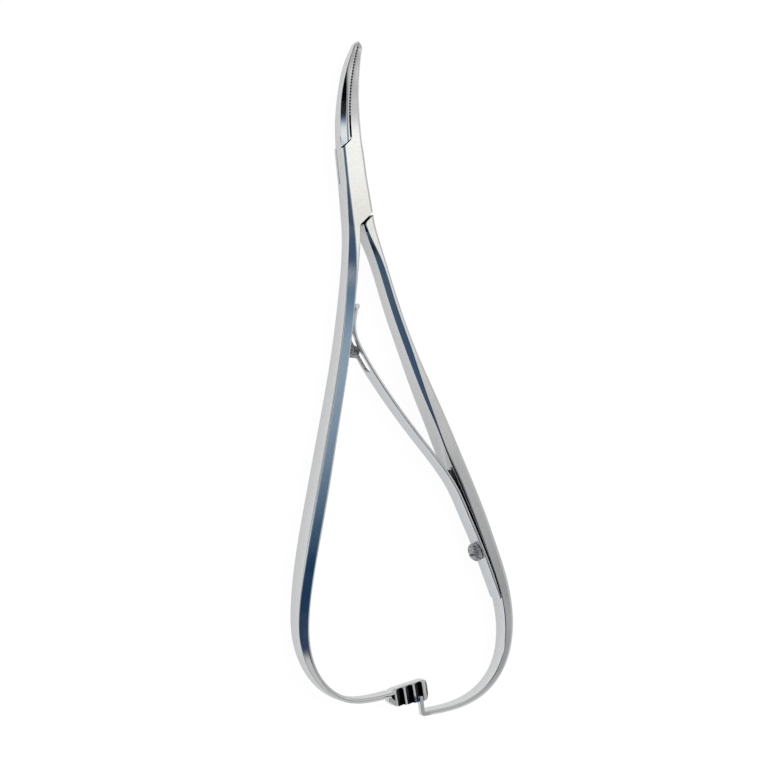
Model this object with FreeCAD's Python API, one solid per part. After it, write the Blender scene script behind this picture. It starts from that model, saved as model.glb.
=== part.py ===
import FreeCAD, Part
import math
import os

os.makedirs("parts", exist_ok=True)

# Ratcheted spring pliers with a box lock, lying flat, in millimetres.
# X runs across the tool, Y from the handles to the jaw tips, Z up from the table.
# The origin is on the pivot axis at the table. All shapes are drawn about the tool's
# middle plane and lifted by MIDDLE_HEIGHT when they are written.

# Box lock
BOX_THICKNESS = 5.0
BOX_TOP_HALF_WIDTH = 2.2
BOX_WAIST_HALF_WIDTH = 2.37
BOX_FOOT_HALF_WIDTH = 2.88
BOX_LENGTH_ABOVE = 8.9
BOX_LENGTH_BELOW = 9.0
BOX_EDGE_BEVEL = 0.35
BOX_FOOT_BEVEL = 0.9
SHOULDER_REACH = 8.6
SHOULDER_ANGLE = 36.0
SHOULDER_GAP = 0.3
PARTING_OFFSET = 0.3
PARTING_GAP = 0.1
OPENING_ANGLE = 15.0

# Tongue and pivot
TONGUE_THICKNESS = 2.6
TONGUE_CLEARANCE = 0.06
TONGUE_SIDE_CLEARANCE = 0.1
TONGUE_ROOT_OVERLAP = 1.5
HUB_RADIUS = 1.6
NECK_HEIGHT = 3.2
NECK_START_ANGLE = 70.0
SHOULDER_START = 3.6
PIN_DIAMETER = 1.9
PIN_CLEARANCE = 0.03

# Jaws, which follow one arc from the parting line to the tips
JAW_ARC_RADIUS = 49.0
JAW_ARC_START = 6.5
JAW_GAP = 0.08
JAW_BEVEL_RISE = 0.85
# Angle along the arc, width of the left jaw, of the right jaw, thickness, outer bevel
JAW_SECTIONS = [
    (3.0, 1.88, 2.5, 4.95, 0.4),
    (8.0, 1.78, 2.38, 4.5, 0.95),
    (13.0, 1.65, 2.12, 3.8, 0.9),
    (18.0, 1.45, 1.76, 3.05, 0.75),
    (22.0, 1.17, 1.4, 2.45, 0.55),
    (24.5, 0.85, 1.08, 2.0, 0.4),
    (26.0, 0.5, 0.62, 1.5, 0.22),
    (26.6, 0.16, 0.2, 0.9, 0.06),
]
RELIEF_WIDTH = 0.45
RELIEF_ANGLES = (2.9, 8.2)
RELIEF_STEPS = 4
TOOTH_PITCH = 0.63
TOOTH_DEPTH = 0.2
TOOTH_HALF_WIDTH = 0.22
TOOTH_ANGLES = (8.7, 25.6)

# Arms: middle of the section (x, y), thickness across the grip, width along Z,
# bevel on the outer side, bevel on the inner side, from the box down to the ratchet
ARM_ROOT_THICKNESS = 2.5
LEFT_ARM_ROOT_BEVEL = 0.12
RIGHT_ARM_ROOT_BEVEL = 0.3
LEFT_ARM = [
    (-2.42, -14.3, 2.35, 5.1, 1.3, 0.15),
    (-4.55, -24.1, 2.1, 5.3, 1.2, 0.3),
    (-7.95, -36.9, 2.2, 5.6, 1.0, 0.5),
    (-12.0, -49.8, 2.55, 5.9, 0.9, 0.7),
    (-16.15, -62.5, 2.95, 6.1, 0.9, 0.9),
    (-20.25, -75.0, 2.85, 6.0, 0.9, 0.9),
    (-22.7, -84.3, 2.5, 5.4, 0.8, 0.8),
    (-23.5, -91.0, 2.0, 4.8, 0.6, 0.6),
    (-22.45, -97.2, 1.55, 4.4, 0.4, 0.4),
    (-19.5, -102.2, 1.25, 4.1, 0.3, 0.3),
    (-15.4, -105.1, 1.1, 4.0, 0.25, 0.25),
    (-11.0, -106.0, 1.05, 4.0, 0.25, 0.25),
    (-5.6, -105.9, 1.05, 4.0, 0.25, 0.25),
]
RIGHT_ARM = [
    (2.95, -15.2, 2.05, 5.1, 0.5, 0.8),
    (5.05, -25.5, 1.95, 5.3, 0.6, 0.9),
    (7.6, -35.9, 2.15, 5.6, 0.8, 0.7),
    (10.7, -46.4, 2.7, 5.9, 0.9, 0.7),
    (14.0, -57.1, 3.05, 6.1, 1.0, 0.8),
    (17.35, -67.8, 3.0, 6.1, 1.0, 0.9),
    (20.3, -78.2, 2.7, 5.9, 0.9, 0.9),
    (22.1, -85.4, 2.5, 5.4, 0.8, 0.8),
    (23.0, -92.0, 2.2, 4.9, 0.6, 0.6),
    (22.5, -98.6, 1.9, 4.4, 0.5, 0.5),
    (19.95, -104.8, 1.5, 4.1, 0.4, 0.4),
    (15.5, -108.9, 1.2, 4.0, 0.3, 0.3),
    (10.2, -110.8, 1.05, 4.0, 0.25, 0.25),
    (2.2, -111.2, 0.95, 4.0, 0.2, 0.2),
]
BEVEL_RISE = 0.6
# Share of a run that goes down, and the halvings that find a height on it
DESCENT_SHARE = 0.8
HALVINGS = 40
MIDDLE_HEIGHT = max(row[3] for row in LEFT_ARM + RIGHT_ARM) / 2

# Ratchet plate at the end of the left arm, toothed on its front face
PLATE_LEFT = -5.9
PLATE_RIGHT = 3.3
PLATE_RISE = 1.55
PLATE_TOP = LEFT_ARM[-1][1] + PLATE_RISE
PLATE_HEIGHT = 4.45
PLATE_SLANT = 1.3
PLATE_BACK = -1.5
PLATE_FRONT = 0.6
PLATE_CORNER = 0.9
NOTCH_COUNT = 3
NOTCH_PITCH = 2.15
NOTCH_DEPTH = 1.0
FIRST_CREST = -4.5
CREST_LAND = 0.25
NOTCH_TOP_MARGIN = 0.5
CREST_LEAN = 2.5
END_RAMP_DEPTH = 1.2
RUN_IN_LENGTH = 3.2
RUN_IN_HEIGHT = 1.6
RUN_IN_EDGE = 0.25

# Pawl at the end of the right arm, standing in front of the last notch
PAWL_CLEARANCE = 0.08
PAWL_THICKNESS = 0.85
PAWL_WIDTH = 1.3
PAWL_MIDDLE = 0.85
PAWL_TIP = -107.35
PAWL_HEEL_RADIUS = 0.8
PAWL_TIP_RADIUS = 0.35

# Leaf spring, its screw and the guide peg
SPRING_THICKNESS = 0.65
SPRING_WIDTH = 4.8
SPRING_GAP = 0.06
# Height on the right arm and how far the leaf stands off it there
SPRING_SEAT = [(-90.2, 0.06), (-85.4, 0.06), (-79.3, 0.06), (-75.5, 0.1), (-70.5, 0.2),
               (-66.0, 0.3)]
SPRING_BOW = [(8.7, -56.0), (1.15, -43.6), (-3.35, -34.4), (-4.35, -30.9)]
SPRING_TOUCH = -28.2
SPRING_ROLL_HEIGHT = -25.1
SPRING_ROLL_RADIUS = 0.55
SLOT_WIDTH = 3.0
SLOT_TOP = -30.6
SLOT_BOTTOM = -39.3
SCREW_PLACE = -79.3
SCREW_HEAD_DIAMETER = 3.9
SCREW_HEAD_HEIGHT = 2.0
SCREW_RIM_HEIGHT = 1.1
SCREW_HEAD_GAP = 0.06
SCREW_SHANK_DIAMETER = 1.8
SCREW_SHANK_CLEARANCE = 0.1
SCREW_SEAT_DEPTH = 1.6
SCREW_SLOT_WIDTH = 0.55
SCREW_SLOT_DEPTH = 0.7
PEG_PLACE = -33.9
PEG_DIAMETER = 2.7
PEG_REACH = 2.75
PEG_SEAT_DEPTH = 1.3
PEG_CHAMFER = 0.2


def point(x, y, z=0.0):
    return FreeCAD.Vector(x, y, z)


def polygon(points):
    return Part.makePolygon(points + [points[0]])


def prism(outline, bottom, top):
    """Straight solid over a closed outline of (x, y) pairs."""
    wire = polygon([point(x, y, bottom) for x, y in outline])
    return Part.Face(wire).extrude(point(0, 0, top - bottom))


def rounded_prism(corners, bottom, top):
    """Straight solid over an outline of (x, y, corner radius)."""
    edges, starts, ends = [], [], []
    for index, (x, y, radius) in enumerate(corners):
        here = point(x, y, bottom)
        before = point(corners[index - 1][0], corners[index - 1][1], bottom)
        following = corners[(index + 1) % len(corners)]
        after = point(following[0], following[1], bottom)
        back, ahead = (before - here).normalize(), (after - here).normalize()
        half_turn = back.getAngle(ahead) / 2
        run = radius / math.tan(half_turn)
        start, end = here + back * run, here + ahead * run
        starts.append(start)
        ends.append(end)
        if radius > 0:
            middle = (back + ahead).normalize()
            crown = here + middle * (radius / math.sin(half_turn) - radius)
            edges.append(Part.Arc(start, crown, end).toShape())
    for index in range(len(corners)):
        edges.append(Part.makeLine(ends[index - 1], starts[index]))
    wire = Part.Wire(Part.__sortEdges__(edges))
    return Part.Face(wire).extrude(point(0, 0, top - bottom))


def rod(start, direction, radius, length):
    return Part.makeCylinder(radius, length, start, direction)


def turned(x, y, degrees):
    """The point (x, y) turned about the pivot, as seen from above."""
    angle = math.radians(degrees)
    return (x * math.cos(angle) - y * math.sin(angle),
            x * math.sin(angle) + y * math.cos(angle))


def half_turn(outline):
    """The same outline on the other side of the pivot."""
    return [(-x, -y) for x, y in outline]


def bar_section(middle, outward, thickness, width, outer_bevel, inner_bevel):
    """Eight-cornered section of an arm, square to its run."""
    half, side = width / 2, thickness / 2
    outer_drop, inner_drop = outer_bevel * BEVEL_RISE, inner_bevel * BEVEL_RISE
    corners = [
        (side, outer_drop - half), (side, half - outer_drop),
        (side - outer_bevel, half), (inner_bevel - side, half),
        (-side, half - inner_drop), (-side, inner_drop - half),
        (inner_bevel - side, -half), (side - outer_bevel, -half),
    ]
    return polygon([middle + outward * n + point(0, 0, z) for n, z in corners])


class ArmRun:
    """The run of one arm: where its middle lies and how thick it is on the way down."""

    def __init__(self, rows, sign, root_bevels):
        root_middle = sign * (BOX_FOOT_HALF_WIDTH - ARM_ROOT_THICKNESS / 2)
        root = (root_middle, -BOX_LENGTH_BELOW, ARM_ROOT_THICKNESS, BOX_THICKNESS)
        self.rows = [root + root_bevels] + rows
        self.sign = sign
        self.curve = Part.BSplineCurve()
        self.curve.interpolate([point(row[0], row[1]) for row in self.rows])

    def outward(self, parameter):
        along = self.curve.tangent(parameter)[0]
        return point(-along.y, along.x) * self.sign

    def solid(self):
        sections = []
        for x, y, thickness, width, outer, inner in self.rows:
            side = self.outward(self.curve.parameter(point(x, y)))
            if y == -BOX_LENGTH_BELOW:
                side = point(self.sign, 0)
            sections.append(bar_section(point(x, y), side, thickness, width, outer, inner))
        return Part.makeLoft(sections, True, False)

    def parameter_at(self, y):
        """Parameter where the run passes the height y, before it turns in to the ratchet."""
        high, low = self.curve.FirstParameter, self.curve.LastParameter
        low = high + (low - high) * DESCENT_SHARE
        for _ in range(HALVINGS):
            middle = (high + low) / 2
            if self.curve.value(middle).y > y:
                high = middle
            else:
                low = middle
        return middle

    def thickness_at(self, y):
        for upper, lower in zip(self.rows, self.rows[1:]):
            if lower[1] <= y <= upper[1]:
                share = (upper[1] - y) / (upper[1] - lower[1])
                return upper[2] + (lower[2] - upper[2]) * share
        return self.rows[-1][2]

    def inner_face(self, y, lift=0.0):
        """Point over the inner face at the height y, and the direction away from it."""
        parameter = self.parameter_at(y)
        inward = self.outward(parameter) * -1.0
        reach = self.thickness_at(y) / 2 + lift
        return self.curve.value(parameter) + inward * reach, inward


def shoulder(x):
    """Height of the upper shoulder line above the pivot."""
    return SHOULDER_REACH + math.tan(math.radians(SHOULDER_ANGLE)) * x


def box_blank():
    """The bevelled bar between the jaws and the arms, ground flat on its cheeks."""
    half = BOX_THICKNESS / 2
    crown = half + BOX_EDGE_BEVEL
    stations = [
        (BOX_LENGTH_ABOVE, BOX_TOP_HALF_WIDTH, BOX_EDGE_BEVEL),
        (0.0, BOX_WAIST_HALF_WIDTH, BOX_EDGE_BEVEL),
        (-BOX_LENGTH_BELOW, BOX_FOOT_HALF_WIDTH, BOX_FOOT_BEVEL),
    ]
    sections = []
    for y, side, bevel in stations:
        left_rise, right_rise = half - bevel * BEVEL_RISE, half - BOX_EDGE_BEVEL * BEVEL_RISE
        left_run = (crown - left_rise) / BEVEL_RISE - side
        right_run = side - (crown - right_rise) / BEVEL_RISE
        corners = [
            (-side, -left_rise), (-side, left_rise), (left_run, crown), (right_run, crown),
            (side, right_rise), (side, -right_rise), (right_run, -crown), (left_run, -crown),
        ]
        sections.append(polygon([point(x, y, z) for x, z in corners]))
    wide, long = 2 * BOX_FOOT_HALF_WIDTH, BOX_LENGTH_ABOVE + BOX_LENGTH_BELOW
    slab = Part.makeBox(2 * wide, long, BOX_THICKNESS, point(-wide, -BOX_LENGTH_BELOW, -half))
    return Part.makeLoft(sections, True, True).common(slab)


def tongue_edges(clearance):
    """Right and left edge of the upper half of the tongue, from the hub upwards."""
    reach = BOX_LENGTH_ABOVE + TONGUE_ROOT_OVERLAP
    lean = math.radians(NECK_START_ANGLE)
    right = [
        ((HUB_RADIUS + clearance) * math.cos(lean), (HUB_RADIUS + clearance) * math.sin(lean)),
        (clearance - PARTING_OFFSET - PARTING_GAP / 2, NECK_HEIGHT),
        (clearance - PARTING_OFFSET - PARTING_GAP / 2, reach),
    ]
    left = [
        (-BOX_TOP_HALF_WIDTH, reach),
        (-BOX_TOP_HALF_WIDTH - clearance, SHOULDER_START),
        (-HUB_RADIUS - clearance, 0.0),
    ]
    return right, left


def tongue():
    """Flat bar through the slot, widened to a hub round the pin."""
    half = TONGUE_THICKNESS / 2
    right, left = tongue_edges(0.0)
    upper = prism([(0.0, 0.0)] + right + left, -half, half)
    lower = prism(half_turn([(0.0, 0.0)] + right + left), -half, half)
    hub = rod(point(0, 0, -half), point(0, 0, 1), HUB_RADIUS, TONGUE_THICKNESS)
    return hub.fuse([upper, lower])


def slot_cutter():
    """Room that the tongue sweeps from shut to fully open."""
    half = TONGUE_THICKNESS / 2 + TONGUE_CLEARANCE
    right, left = tongue_edges(TONGUE_SIDE_CLEARANCE)
    swept_side = turned(left[1][0], left[1][1], OPENING_ANGLE)
    swept_hub = turned(left[2][0], left[2][1], OPENING_ANGLE)
    outside = -3 * BOX_FOOT_HALF_WIDTH
    reach = right[-1][1]
    steep = (swept_side[1] - swept_hub[1]) / (swept_side[0] - swept_hub[0])
    swept_out = (outside, swept_hub[1] + steep * (outside - swept_hub[0]))
    room = [(0.0, 0.0)] + right + [(outside, max(reach, swept_out[1] + 1)), swept_out, swept_hub]
    upper = prism(room, -half, half)
    lower = prism(half_turn(room), -half, half)
    hub = rod(point(0, 0, -half), point(0, 0, 1), HUB_RADIUS + TONGUE_SIDE_CLEARANCE, 2 * half)
    return hub.fuse([upper, lower])


def above_shoulder():
    """Everything over the upper shoulder line, left of the parting line."""
    far, tall = 4 * BOX_FOOT_HALF_WIDTH, BOX_THICKNESS
    edge = PARTING_GAP / 2 - PARTING_OFFSET
    return prism([(-far, shoulder(-far)), (edge, shoulder(edge)),
                  (edge, 3 * SHOULDER_REACH), (-far, 3 * SHOULDER_REACH)], -tall, tall)


def below_shoulder(edge):
    """Everything under the lower shoulder line, right of the given edge."""
    return prism(half_turn([(-4 * BOX_FOOT_HALF_WIDTH, shoulder(-4 * BOX_FOOT_HALF_WIDTH)),
                            (-edge, shoulder(-edge)), (-edge, 3 * SHOULDER_REACH),
                            (-4 * BOX_FOOT_HALF_WIDTH, 3 * SHOULDER_REACH)]),
                 -BOX_THICKNESS, BOX_THICKNESS)


def under_jaw_root():
    """Everything under the end of the left jaw, which stands off the upper shoulder."""
    far, tall = 4 * BOX_FOOT_HALF_WIDTH, BOX_THICKNESS
    return prism([(-far, shoulder(-far) + SHOULDER_GAP), (far, shoulder(far) + SHOULDER_GAP),
                  (far, -far), (-far, -far)], -tall, tall)


def arm_head():
    """Head of the right arm, which stands off the lower shoulder of the box."""
    inner_edge = BOX_FOOT_HALF_WIDTH - ARM_ROOT_THICKNESS
    far = 2 * BOX_FOOT_HALF_WIDTH
    room = [(inner_edge, -shoulder(-inner_edge) - SHOULDER_GAP),
            (far, -shoulder(-far) - SHOULDER_GAP), (far, -BOX_LENGTH_BELOW),
            (inner_edge, -BOX_LENGTH_BELOW)]
    return box_blank().common(prism(room, -BOX_THICKNESS, BOX_THICKNESS))


def arc_point(degrees, offset=0.0):
    """Point of the line where the jaws meet, moved to the right by offset."""
    angle = math.radians(degrees)
    radius = JAW_ARC_RADIUS - offset
    return point(JAW_ARC_RADIUS - PARTING_OFFSET - radius * math.cos(angle),
                 JAW_ARC_START + radius * math.sin(angle))


def jaw_section(degrees, side, width, thickness, bevel):
    """Half of the beak's section, to the left (side -1) or right (side 1) of the arc."""
    half, drop = thickness / 2, bevel * JAW_BEVEL_RISE
    corners = [(JAW_GAP / 2, -half), (width - bevel, -half), (width, drop - half),
               (width, half - drop), (width - bevel, half), (JAW_GAP / 2, half)]
    return polygon([arc_point(degrees, side * n) + point(0, 0, z) for n, z in corners])


def jaw(side):
    """One curved jaw, thinning towards its tip, with its cross teeth."""
    column = 1 if side < 0 else 2
    root_width = BOX_TOP_HALF_WIDTH + side * PARTING_OFFSET
    sections = [jaw_section(0.0, side, root_width, BOX_THICKNESS, BOX_EDGE_BEVEL)]
    for row in JAW_SECTIONS:
        sections.append(jaw_section(row[0], side, row[column], row[3], row[4]))
    return Part.makeLoft(sections, True, False)


def jaw_cuts():
    """Relief gap behind the teeth, and the diamond gaps that the meeting teeth leave."""
    tall = BOX_THICKNESS
    first, last = RELIEF_ANGLES
    angles = [first + (last - first) * n / RELIEF_STEPS for n in range(RELIEF_STEPS + 1)]
    inner = [arc_point(angle, -RELIEF_WIDTH / 2) for angle in angles]
    outer = [arc_point(angle, RELIEF_WIDTH / 2) for angle in angles]
    outline = [(p.x, p.y) for p in inner + outer[::-1]]
    cuts = [prism(outline, -tall, tall)]
    step = math.degrees(TOOTH_PITCH / JAW_ARC_RADIUS)
    spread = math.degrees(TOOTH_HALF_WIDTH / JAW_ARC_RADIUS)
    angle = TOOTH_ANGLES[0]
    while angle < TOOTH_ANGLES[1]:
        diamond = [arc_point(angle - spread), arc_point(angle, TOOTH_DEPTH),
                   arc_point(angle + spread), arc_point(angle, -TOOTH_DEPTH)]
        cuts.append(prism([(p.x, p.y) for p in diamond], -tall, tall))
        angle += step
    return cuts


def ratchet_plate():
    """Plate with saw-tooth notches that are closed at the top, and a run-on ramp."""
    bottom = PLATE_TOP - PLATE_HEIGHT
    plate = rounded_prism([
        (PLATE_LEFT, PLATE_TOP - PLATE_SLANT / 2, 0.0), (FIRST_CREST, PLATE_TOP, PLATE_CORNER),
        (PLATE_RIGHT, PLATE_TOP, PLATE_CORNER), (PLATE_RIGHT, bottom, PLATE_CORNER),
        (FIRST_CREST, bottom, PLATE_CORNER), (PLATE_LEFT, bottom + PLATE_SLANT, 0.0),
    ], PLATE_BACK, PLATE_FRONT)
    cuts = []
    over = NOTCH_DEPTH
    for index in range(NOTCH_COUNT):
        crest = FIRST_CREST + index * NOTCH_PITCH
        wall = crest + NOTCH_PITCH
        profile = [(crest + CREST_LAND, PLATE_FRONT + over), (crest + CREST_LAND, PLATE_FRONT),
                   (wall, PLATE_FRONT - NOTCH_DEPTH), (wall, PLATE_FRONT + over)]
        cuts.append(notch_cut(profile, PLATE_TOP - NOTCH_TOP_MARGIN))
    last = FIRST_CREST + NOTCH_COUNT * NOTCH_PITCH + CREST_LAND
    ramp = [(last, PLATE_FRONT + over), (last, PLATE_FRONT),
            (PLATE_RIGHT + over, PLATE_FRONT - END_RAMP_DEPTH), (PLATE_RIGHT + over, PLATE_FRONT + over)]
    cuts.append(notch_cut(ramp, PLATE_TOP + PLATE_HEIGHT))
    return plate.cut(cuts)


def run_in_cut():
    """Sloping pocket that thins the strip of the arm to the foot of the first crest."""
    middle, tall = LEFT_ARM[-1][1], LEFT_ARM[-1][3] / 2
    start, wall = FIRST_CREST - RUN_IN_LENGTH, FIRST_CREST
    low = middle - RUN_IN_HEIGHT
    slope = [point(start, middle, tall), point(wall, middle, PLATE_FRONT - NOTCH_DEPTH),
             point(wall, middle, 2 * tall), point(start, middle, 2 * tall)]
    wedge = Part.Face(polygon(slope)).extrude(point(0, -RUN_IN_HEIGHT, 0))
    plan = prism([(start, middle), (wall, middle), (wall, low), (PLATE_LEFT, middle - RUN_IN_EDGE)],
                 -tall, 2 * tall)
    return wedge.common(plan)


def notch_cut(profile, top):
    """Cut of the given (x, z) profile that runs off the plate's lower edge."""
    middle = PLATE_TOP - PLATE_HEIGHT / 2
    length = top - (PLATE_TOP - 2 * PLATE_HEIGHT)
    face = Part.Face(polygon([point(x, top, z) for x, z in profile]))
    cut = face.extrude(point(0, -length, 0))
    cut.rotate(point(profile[0][0], middle), point(0, 0, 1), CREST_LEAN)
    return cut


def pawl():
    """Upright that stands in front of the plate, and the heel that joins it to the arm."""
    back = PLATE_FRONT + PAWL_CLEARANCE
    foot_y, foot_thickness = RIGHT_ARM[-1][1], RIGHT_ARM[-1][2]
    left, right = PAWL_MIDDLE - PAWL_THICKNESS / 2, PAWL_MIDDLE + PAWL_THICKNESS / 2
    low, high = foot_y - foot_thickness / 2, foot_y + foot_thickness / 2
    tail = RIGHT_ARM[-1][0] + foot_thickness
    return rounded_prism([
        (left, low, PAWL_HEEL_RADIUS), (tail, low, 0.0), (tail, high, 0.0),
        (right, high, PAWL_TIP_RADIUS), (right, PAWL_TIP, PAWL_TIP_RADIUS),
        (left, PAWL_TIP, PAWL_TIP_RADIUS),
    ], back, back + PAWL_WIDTH)


LEFT_RUN = ArmRun(LEFT_ARM, -1, (BOX_FOOT_BEVEL, LEFT_ARM_ROOT_BEVEL))
RIGHT_RUN = ArmRun(RIGHT_ARM, 1, (BOX_EDGE_BEVEL, RIGHT_ARM_ROOT_BEVEL))


def box_half():
    """Right jaw, slotted box, left arm and ratchet plate, forged as one."""
    inner_edge = ARM_ROOT_THICKNESS - BOX_FOOT_HALF_WIDTH
    box = box_blank().cut([above_shoulder(), below_shoulder(inner_edge)])
    right_jaw = jaw(1).cut(jaw_cuts())
    body = box.fuse([right_jaw, LEFT_RUN.solid(), ratchet_plate()])
    bore = rod(point(0, 0, -BOX_THICKNESS), point(0, 0, 1), PIN_DIAMETER / 2, 2 * BOX_THICKNESS)
    seat, inward = LEFT_RUN.inner_face(PEG_PLACE, -PEG_SEAT_DEPTH)
    peg_hole = rod(seat, inward, PEG_DIAMETER / 2, 2 * PEG_SEAT_DEPTH)
    return body.cut([slot_cutter(), bore, peg_hole, run_in_cut()]).removeSplitter()


def tongue_half():
    """Left jaw, tongue, right arm and pawl, forged as one."""
    left_jaw = jaw(-1).cut(jaw_cuts() + [under_jaw_root()])
    body = left_jaw.fuse([tongue(), arm_head(), RIGHT_RUN.solid(), pawl()])
    bore = rod(point(0, 0, -BOX_THICKNESS), point(0, 0, 1),
               PIN_DIAMETER / 2 + PIN_CLEARANCE, 2 * BOX_THICKNESS)
    seat, inward = RIGHT_RUN.inner_face(SCREW_PLACE, -SCREW_SEAT_DEPTH)
    screw_hole = rod(seat, inward, SCREW_SHANK_DIAMETER / 2, 2 * SCREW_SEAT_DEPTH)
    return body.cut([bore, screw_hole]).removeSplitter()


def pivot_pin():
    return rod(point(0, 0, -BOX_THICKNESS / 2), point(0, 0, 1), PIN_DIAMETER / 2, BOX_THICKNESS)


def spring_path():
    """Middle line of the leaf, from its seat on the right arm to its touch on the left."""
    half = SPRING_THICKNESS / 2
    seat = [RIGHT_RUN.inner_face(y, gap + half)[0] for y, gap in SPRING_SEAT]
    free = [point(x, y) for x, y in SPRING_BOW]
    touch = LEFT_RUN.inner_face(SPRING_TOUCH, SPRING_GAP + half)[0]
    roll = LEFT_RUN.inner_face(SPRING_ROLL_HEIGHT, SPRING_GAP + SPRING_ROLL_RADIUS)[0]
    return seat + free + [touch, roll]


def leaf_spring():
    """Slotted leaf with a rolled tip and the hole for its screw."""
    path = spring_path()
    curve = Part.BSplineCurve()
    curve.interpolate(path)
    half, side = SPRING_WIDTH / 2, SPRING_THICKNESS / 2
    sections = []
    for place in path:
        along = curve.tangent(curve.parameter(place))[0]
        across = point(-along.y, along.x) * side
        corners = [(-1, -half), (1, -half), (1, half), (-1, half)]
        sections.append(polygon([place + across * n + point(0, 0, z) for n, z in corners]))
    leaf = Part.makeLoft(sections, True, False)
    roll = rod(path[-1] - point(0, 0, half), point(0, 0, 1), SPRING_ROLL_RADIUS, SPRING_WIDTH)
    middle, length = (SLOT_TOP + SLOT_BOTTOM) / 2, SLOT_TOP - SLOT_BOTTOM
    round_end, far = SLOT_WIDTH / 2, BOX_LENGTH_BELOW
    ends = [rod(point(-far, middle + s * (length / 2 - round_end)), point(1, 0, 0),
                round_end, 2 * far) for s in (-1, 1)]
    run = Part.makeBox(2 * far, length - SLOT_WIDTH, SLOT_WIDTH,
                       point(-far, middle - length / 2 + round_end, -round_end))
    seat, inward = RIGHT_RUN.inner_face(SCREW_PLACE)
    hole = rod(seat, inward, SCREW_SHANK_DIAMETER / 2 + SCREW_SHANK_CLEARANCE, 2 * SPRING_THICKNESS)
    return leaf.fuse(roll).cut(ends + [run, hole])


def spring_screw():
    """Domed screw with a driving slot, its shank seated in the right arm."""
    under_head = SPRING_GAP + SPRING_THICKNESS + SCREW_HEAD_GAP
    seat, inward = RIGHT_RUN.inner_face(SCREW_PLACE, under_head)
    rise, reach = SCREW_HEAD_HEIGHT - SCREW_RIM_HEIGHT, SCREW_HEAD_DIAMETER / 2
    dome_radius = (rise * rise + reach * reach) / (2 * rise)
    dome = Part.makeSphere(dome_radius, seat + inward * (SCREW_HEAD_HEIGHT - dome_radius), inward)
    head = rod(seat, inward, reach, SCREW_HEAD_HEIGHT).common(dome)
    shank = rod(seat - inward * (under_head + SCREW_SEAT_DEPTH), inward,
                SCREW_SHANK_DIAMETER / 2, under_head + SCREW_SEAT_DEPTH)
    along = point(-inward.y, inward.x)
    corner = seat + inward * (SCREW_HEAD_HEIGHT - SCREW_SLOT_DEPTH)
    wide = SCREW_HEAD_DIAMETER
    slot = Part.Face(polygon([
        corner + along * (s * SCREW_SLOT_WIDTH / 2) + point(0, 0, t * wide)
        for s, t in ((-1, -1), (1, -1), (1, 1), (-1, 1))
    ])).extrude(inward * wide)
    return head.fuse(shank).cut(slot)


def guide_peg():
    """Peg in the left arm that keeps the slotted end of the spring in line."""
    start, inward = LEFT_RUN.inner_face(PEG_PLACE, -PEG_SEAT_DEPTH)
    peg = rod(start, inward, PEG_DIAMETER / 2, PEG_SEAT_DEPTH + PEG_REACH)
    tip = [edge for edge in peg.Edges
           if abs((edge.CenterOfMass - start).dot(inward) - PEG_SEAT_DEPTH - PEG_REACH) < 0.001]
    return peg.makeChamfer(PEG_CHAMFER, tip)


def write(name, shape):
    shape = shape.copy()
    shape.translate(point(0, 0, MIDDLE_HEIGHT))
    shape.exportStep("parts/" + name + ".step")
    print(name, "solids", len(shape.Solids), "valid", shape.isValid(),
          "volume %.1f mm3" % shape.Volume)


write("box_half", box_half())
write("tongue_half", tongue_half())
write("pivot_pin", pivot_pin())
write("leaf_spring", leaf_spring())
write("spring_screw", spring_screw())
write("guide_peg", guide_peg())
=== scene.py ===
"""Looks of a pair of ratcheted spring pliers with a box lock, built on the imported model."""

import logging
import math
from dataclasses import dataclass, field, replace
from enum import Enum
from typing import Callable, Iterable, Sequence

import bmesh
import bpy
import numpy as np
from mathutils import Matrix, Vector


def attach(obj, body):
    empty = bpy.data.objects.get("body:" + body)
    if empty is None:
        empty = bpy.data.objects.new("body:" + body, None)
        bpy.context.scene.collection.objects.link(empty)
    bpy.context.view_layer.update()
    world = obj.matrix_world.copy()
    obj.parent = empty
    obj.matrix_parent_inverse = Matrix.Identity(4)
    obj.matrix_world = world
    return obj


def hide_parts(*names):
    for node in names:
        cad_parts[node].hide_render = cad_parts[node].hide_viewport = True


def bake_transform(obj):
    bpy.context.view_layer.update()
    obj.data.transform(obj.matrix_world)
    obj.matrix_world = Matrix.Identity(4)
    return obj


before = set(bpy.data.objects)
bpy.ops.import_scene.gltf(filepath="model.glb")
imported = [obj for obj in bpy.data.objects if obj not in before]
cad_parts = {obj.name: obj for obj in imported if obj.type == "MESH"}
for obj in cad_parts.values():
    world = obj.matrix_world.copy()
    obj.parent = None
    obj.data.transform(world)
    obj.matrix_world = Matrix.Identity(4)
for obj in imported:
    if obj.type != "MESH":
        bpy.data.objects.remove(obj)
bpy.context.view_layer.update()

LOG = logging.getLogger("pliers")
MIDDLE_HEIGHT = 3.05
MILLIMETRE = 0.001
TO_PART = Matrix.Scale(MILLIMETRE, 4) @ Matrix.Translation((0.0, 0.0, MIDDLE_HEIGHT))
SHARP_ANGLE = math.radians(33.0)
MERGE_DISTANCE, SPIN_MERGE, FLAT_EDGE = 0.002, 0.0005, 0.001
EDGE = 0.06
SCREW_PLACE = -79.3
Row = tuple[float, ...]
Corner = tuple[float, float, float]
Bevel = tuple[float, float]


class Side(Enum):
    """The side of the tool that a jaw or an arm stands on."""

    LEFT = -1
    RIGHT = 1


class Join(Enum):
    """How one blank is combined with another."""

    ADD = "UNION"
    CUT = "DIFFERENCE"


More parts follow.
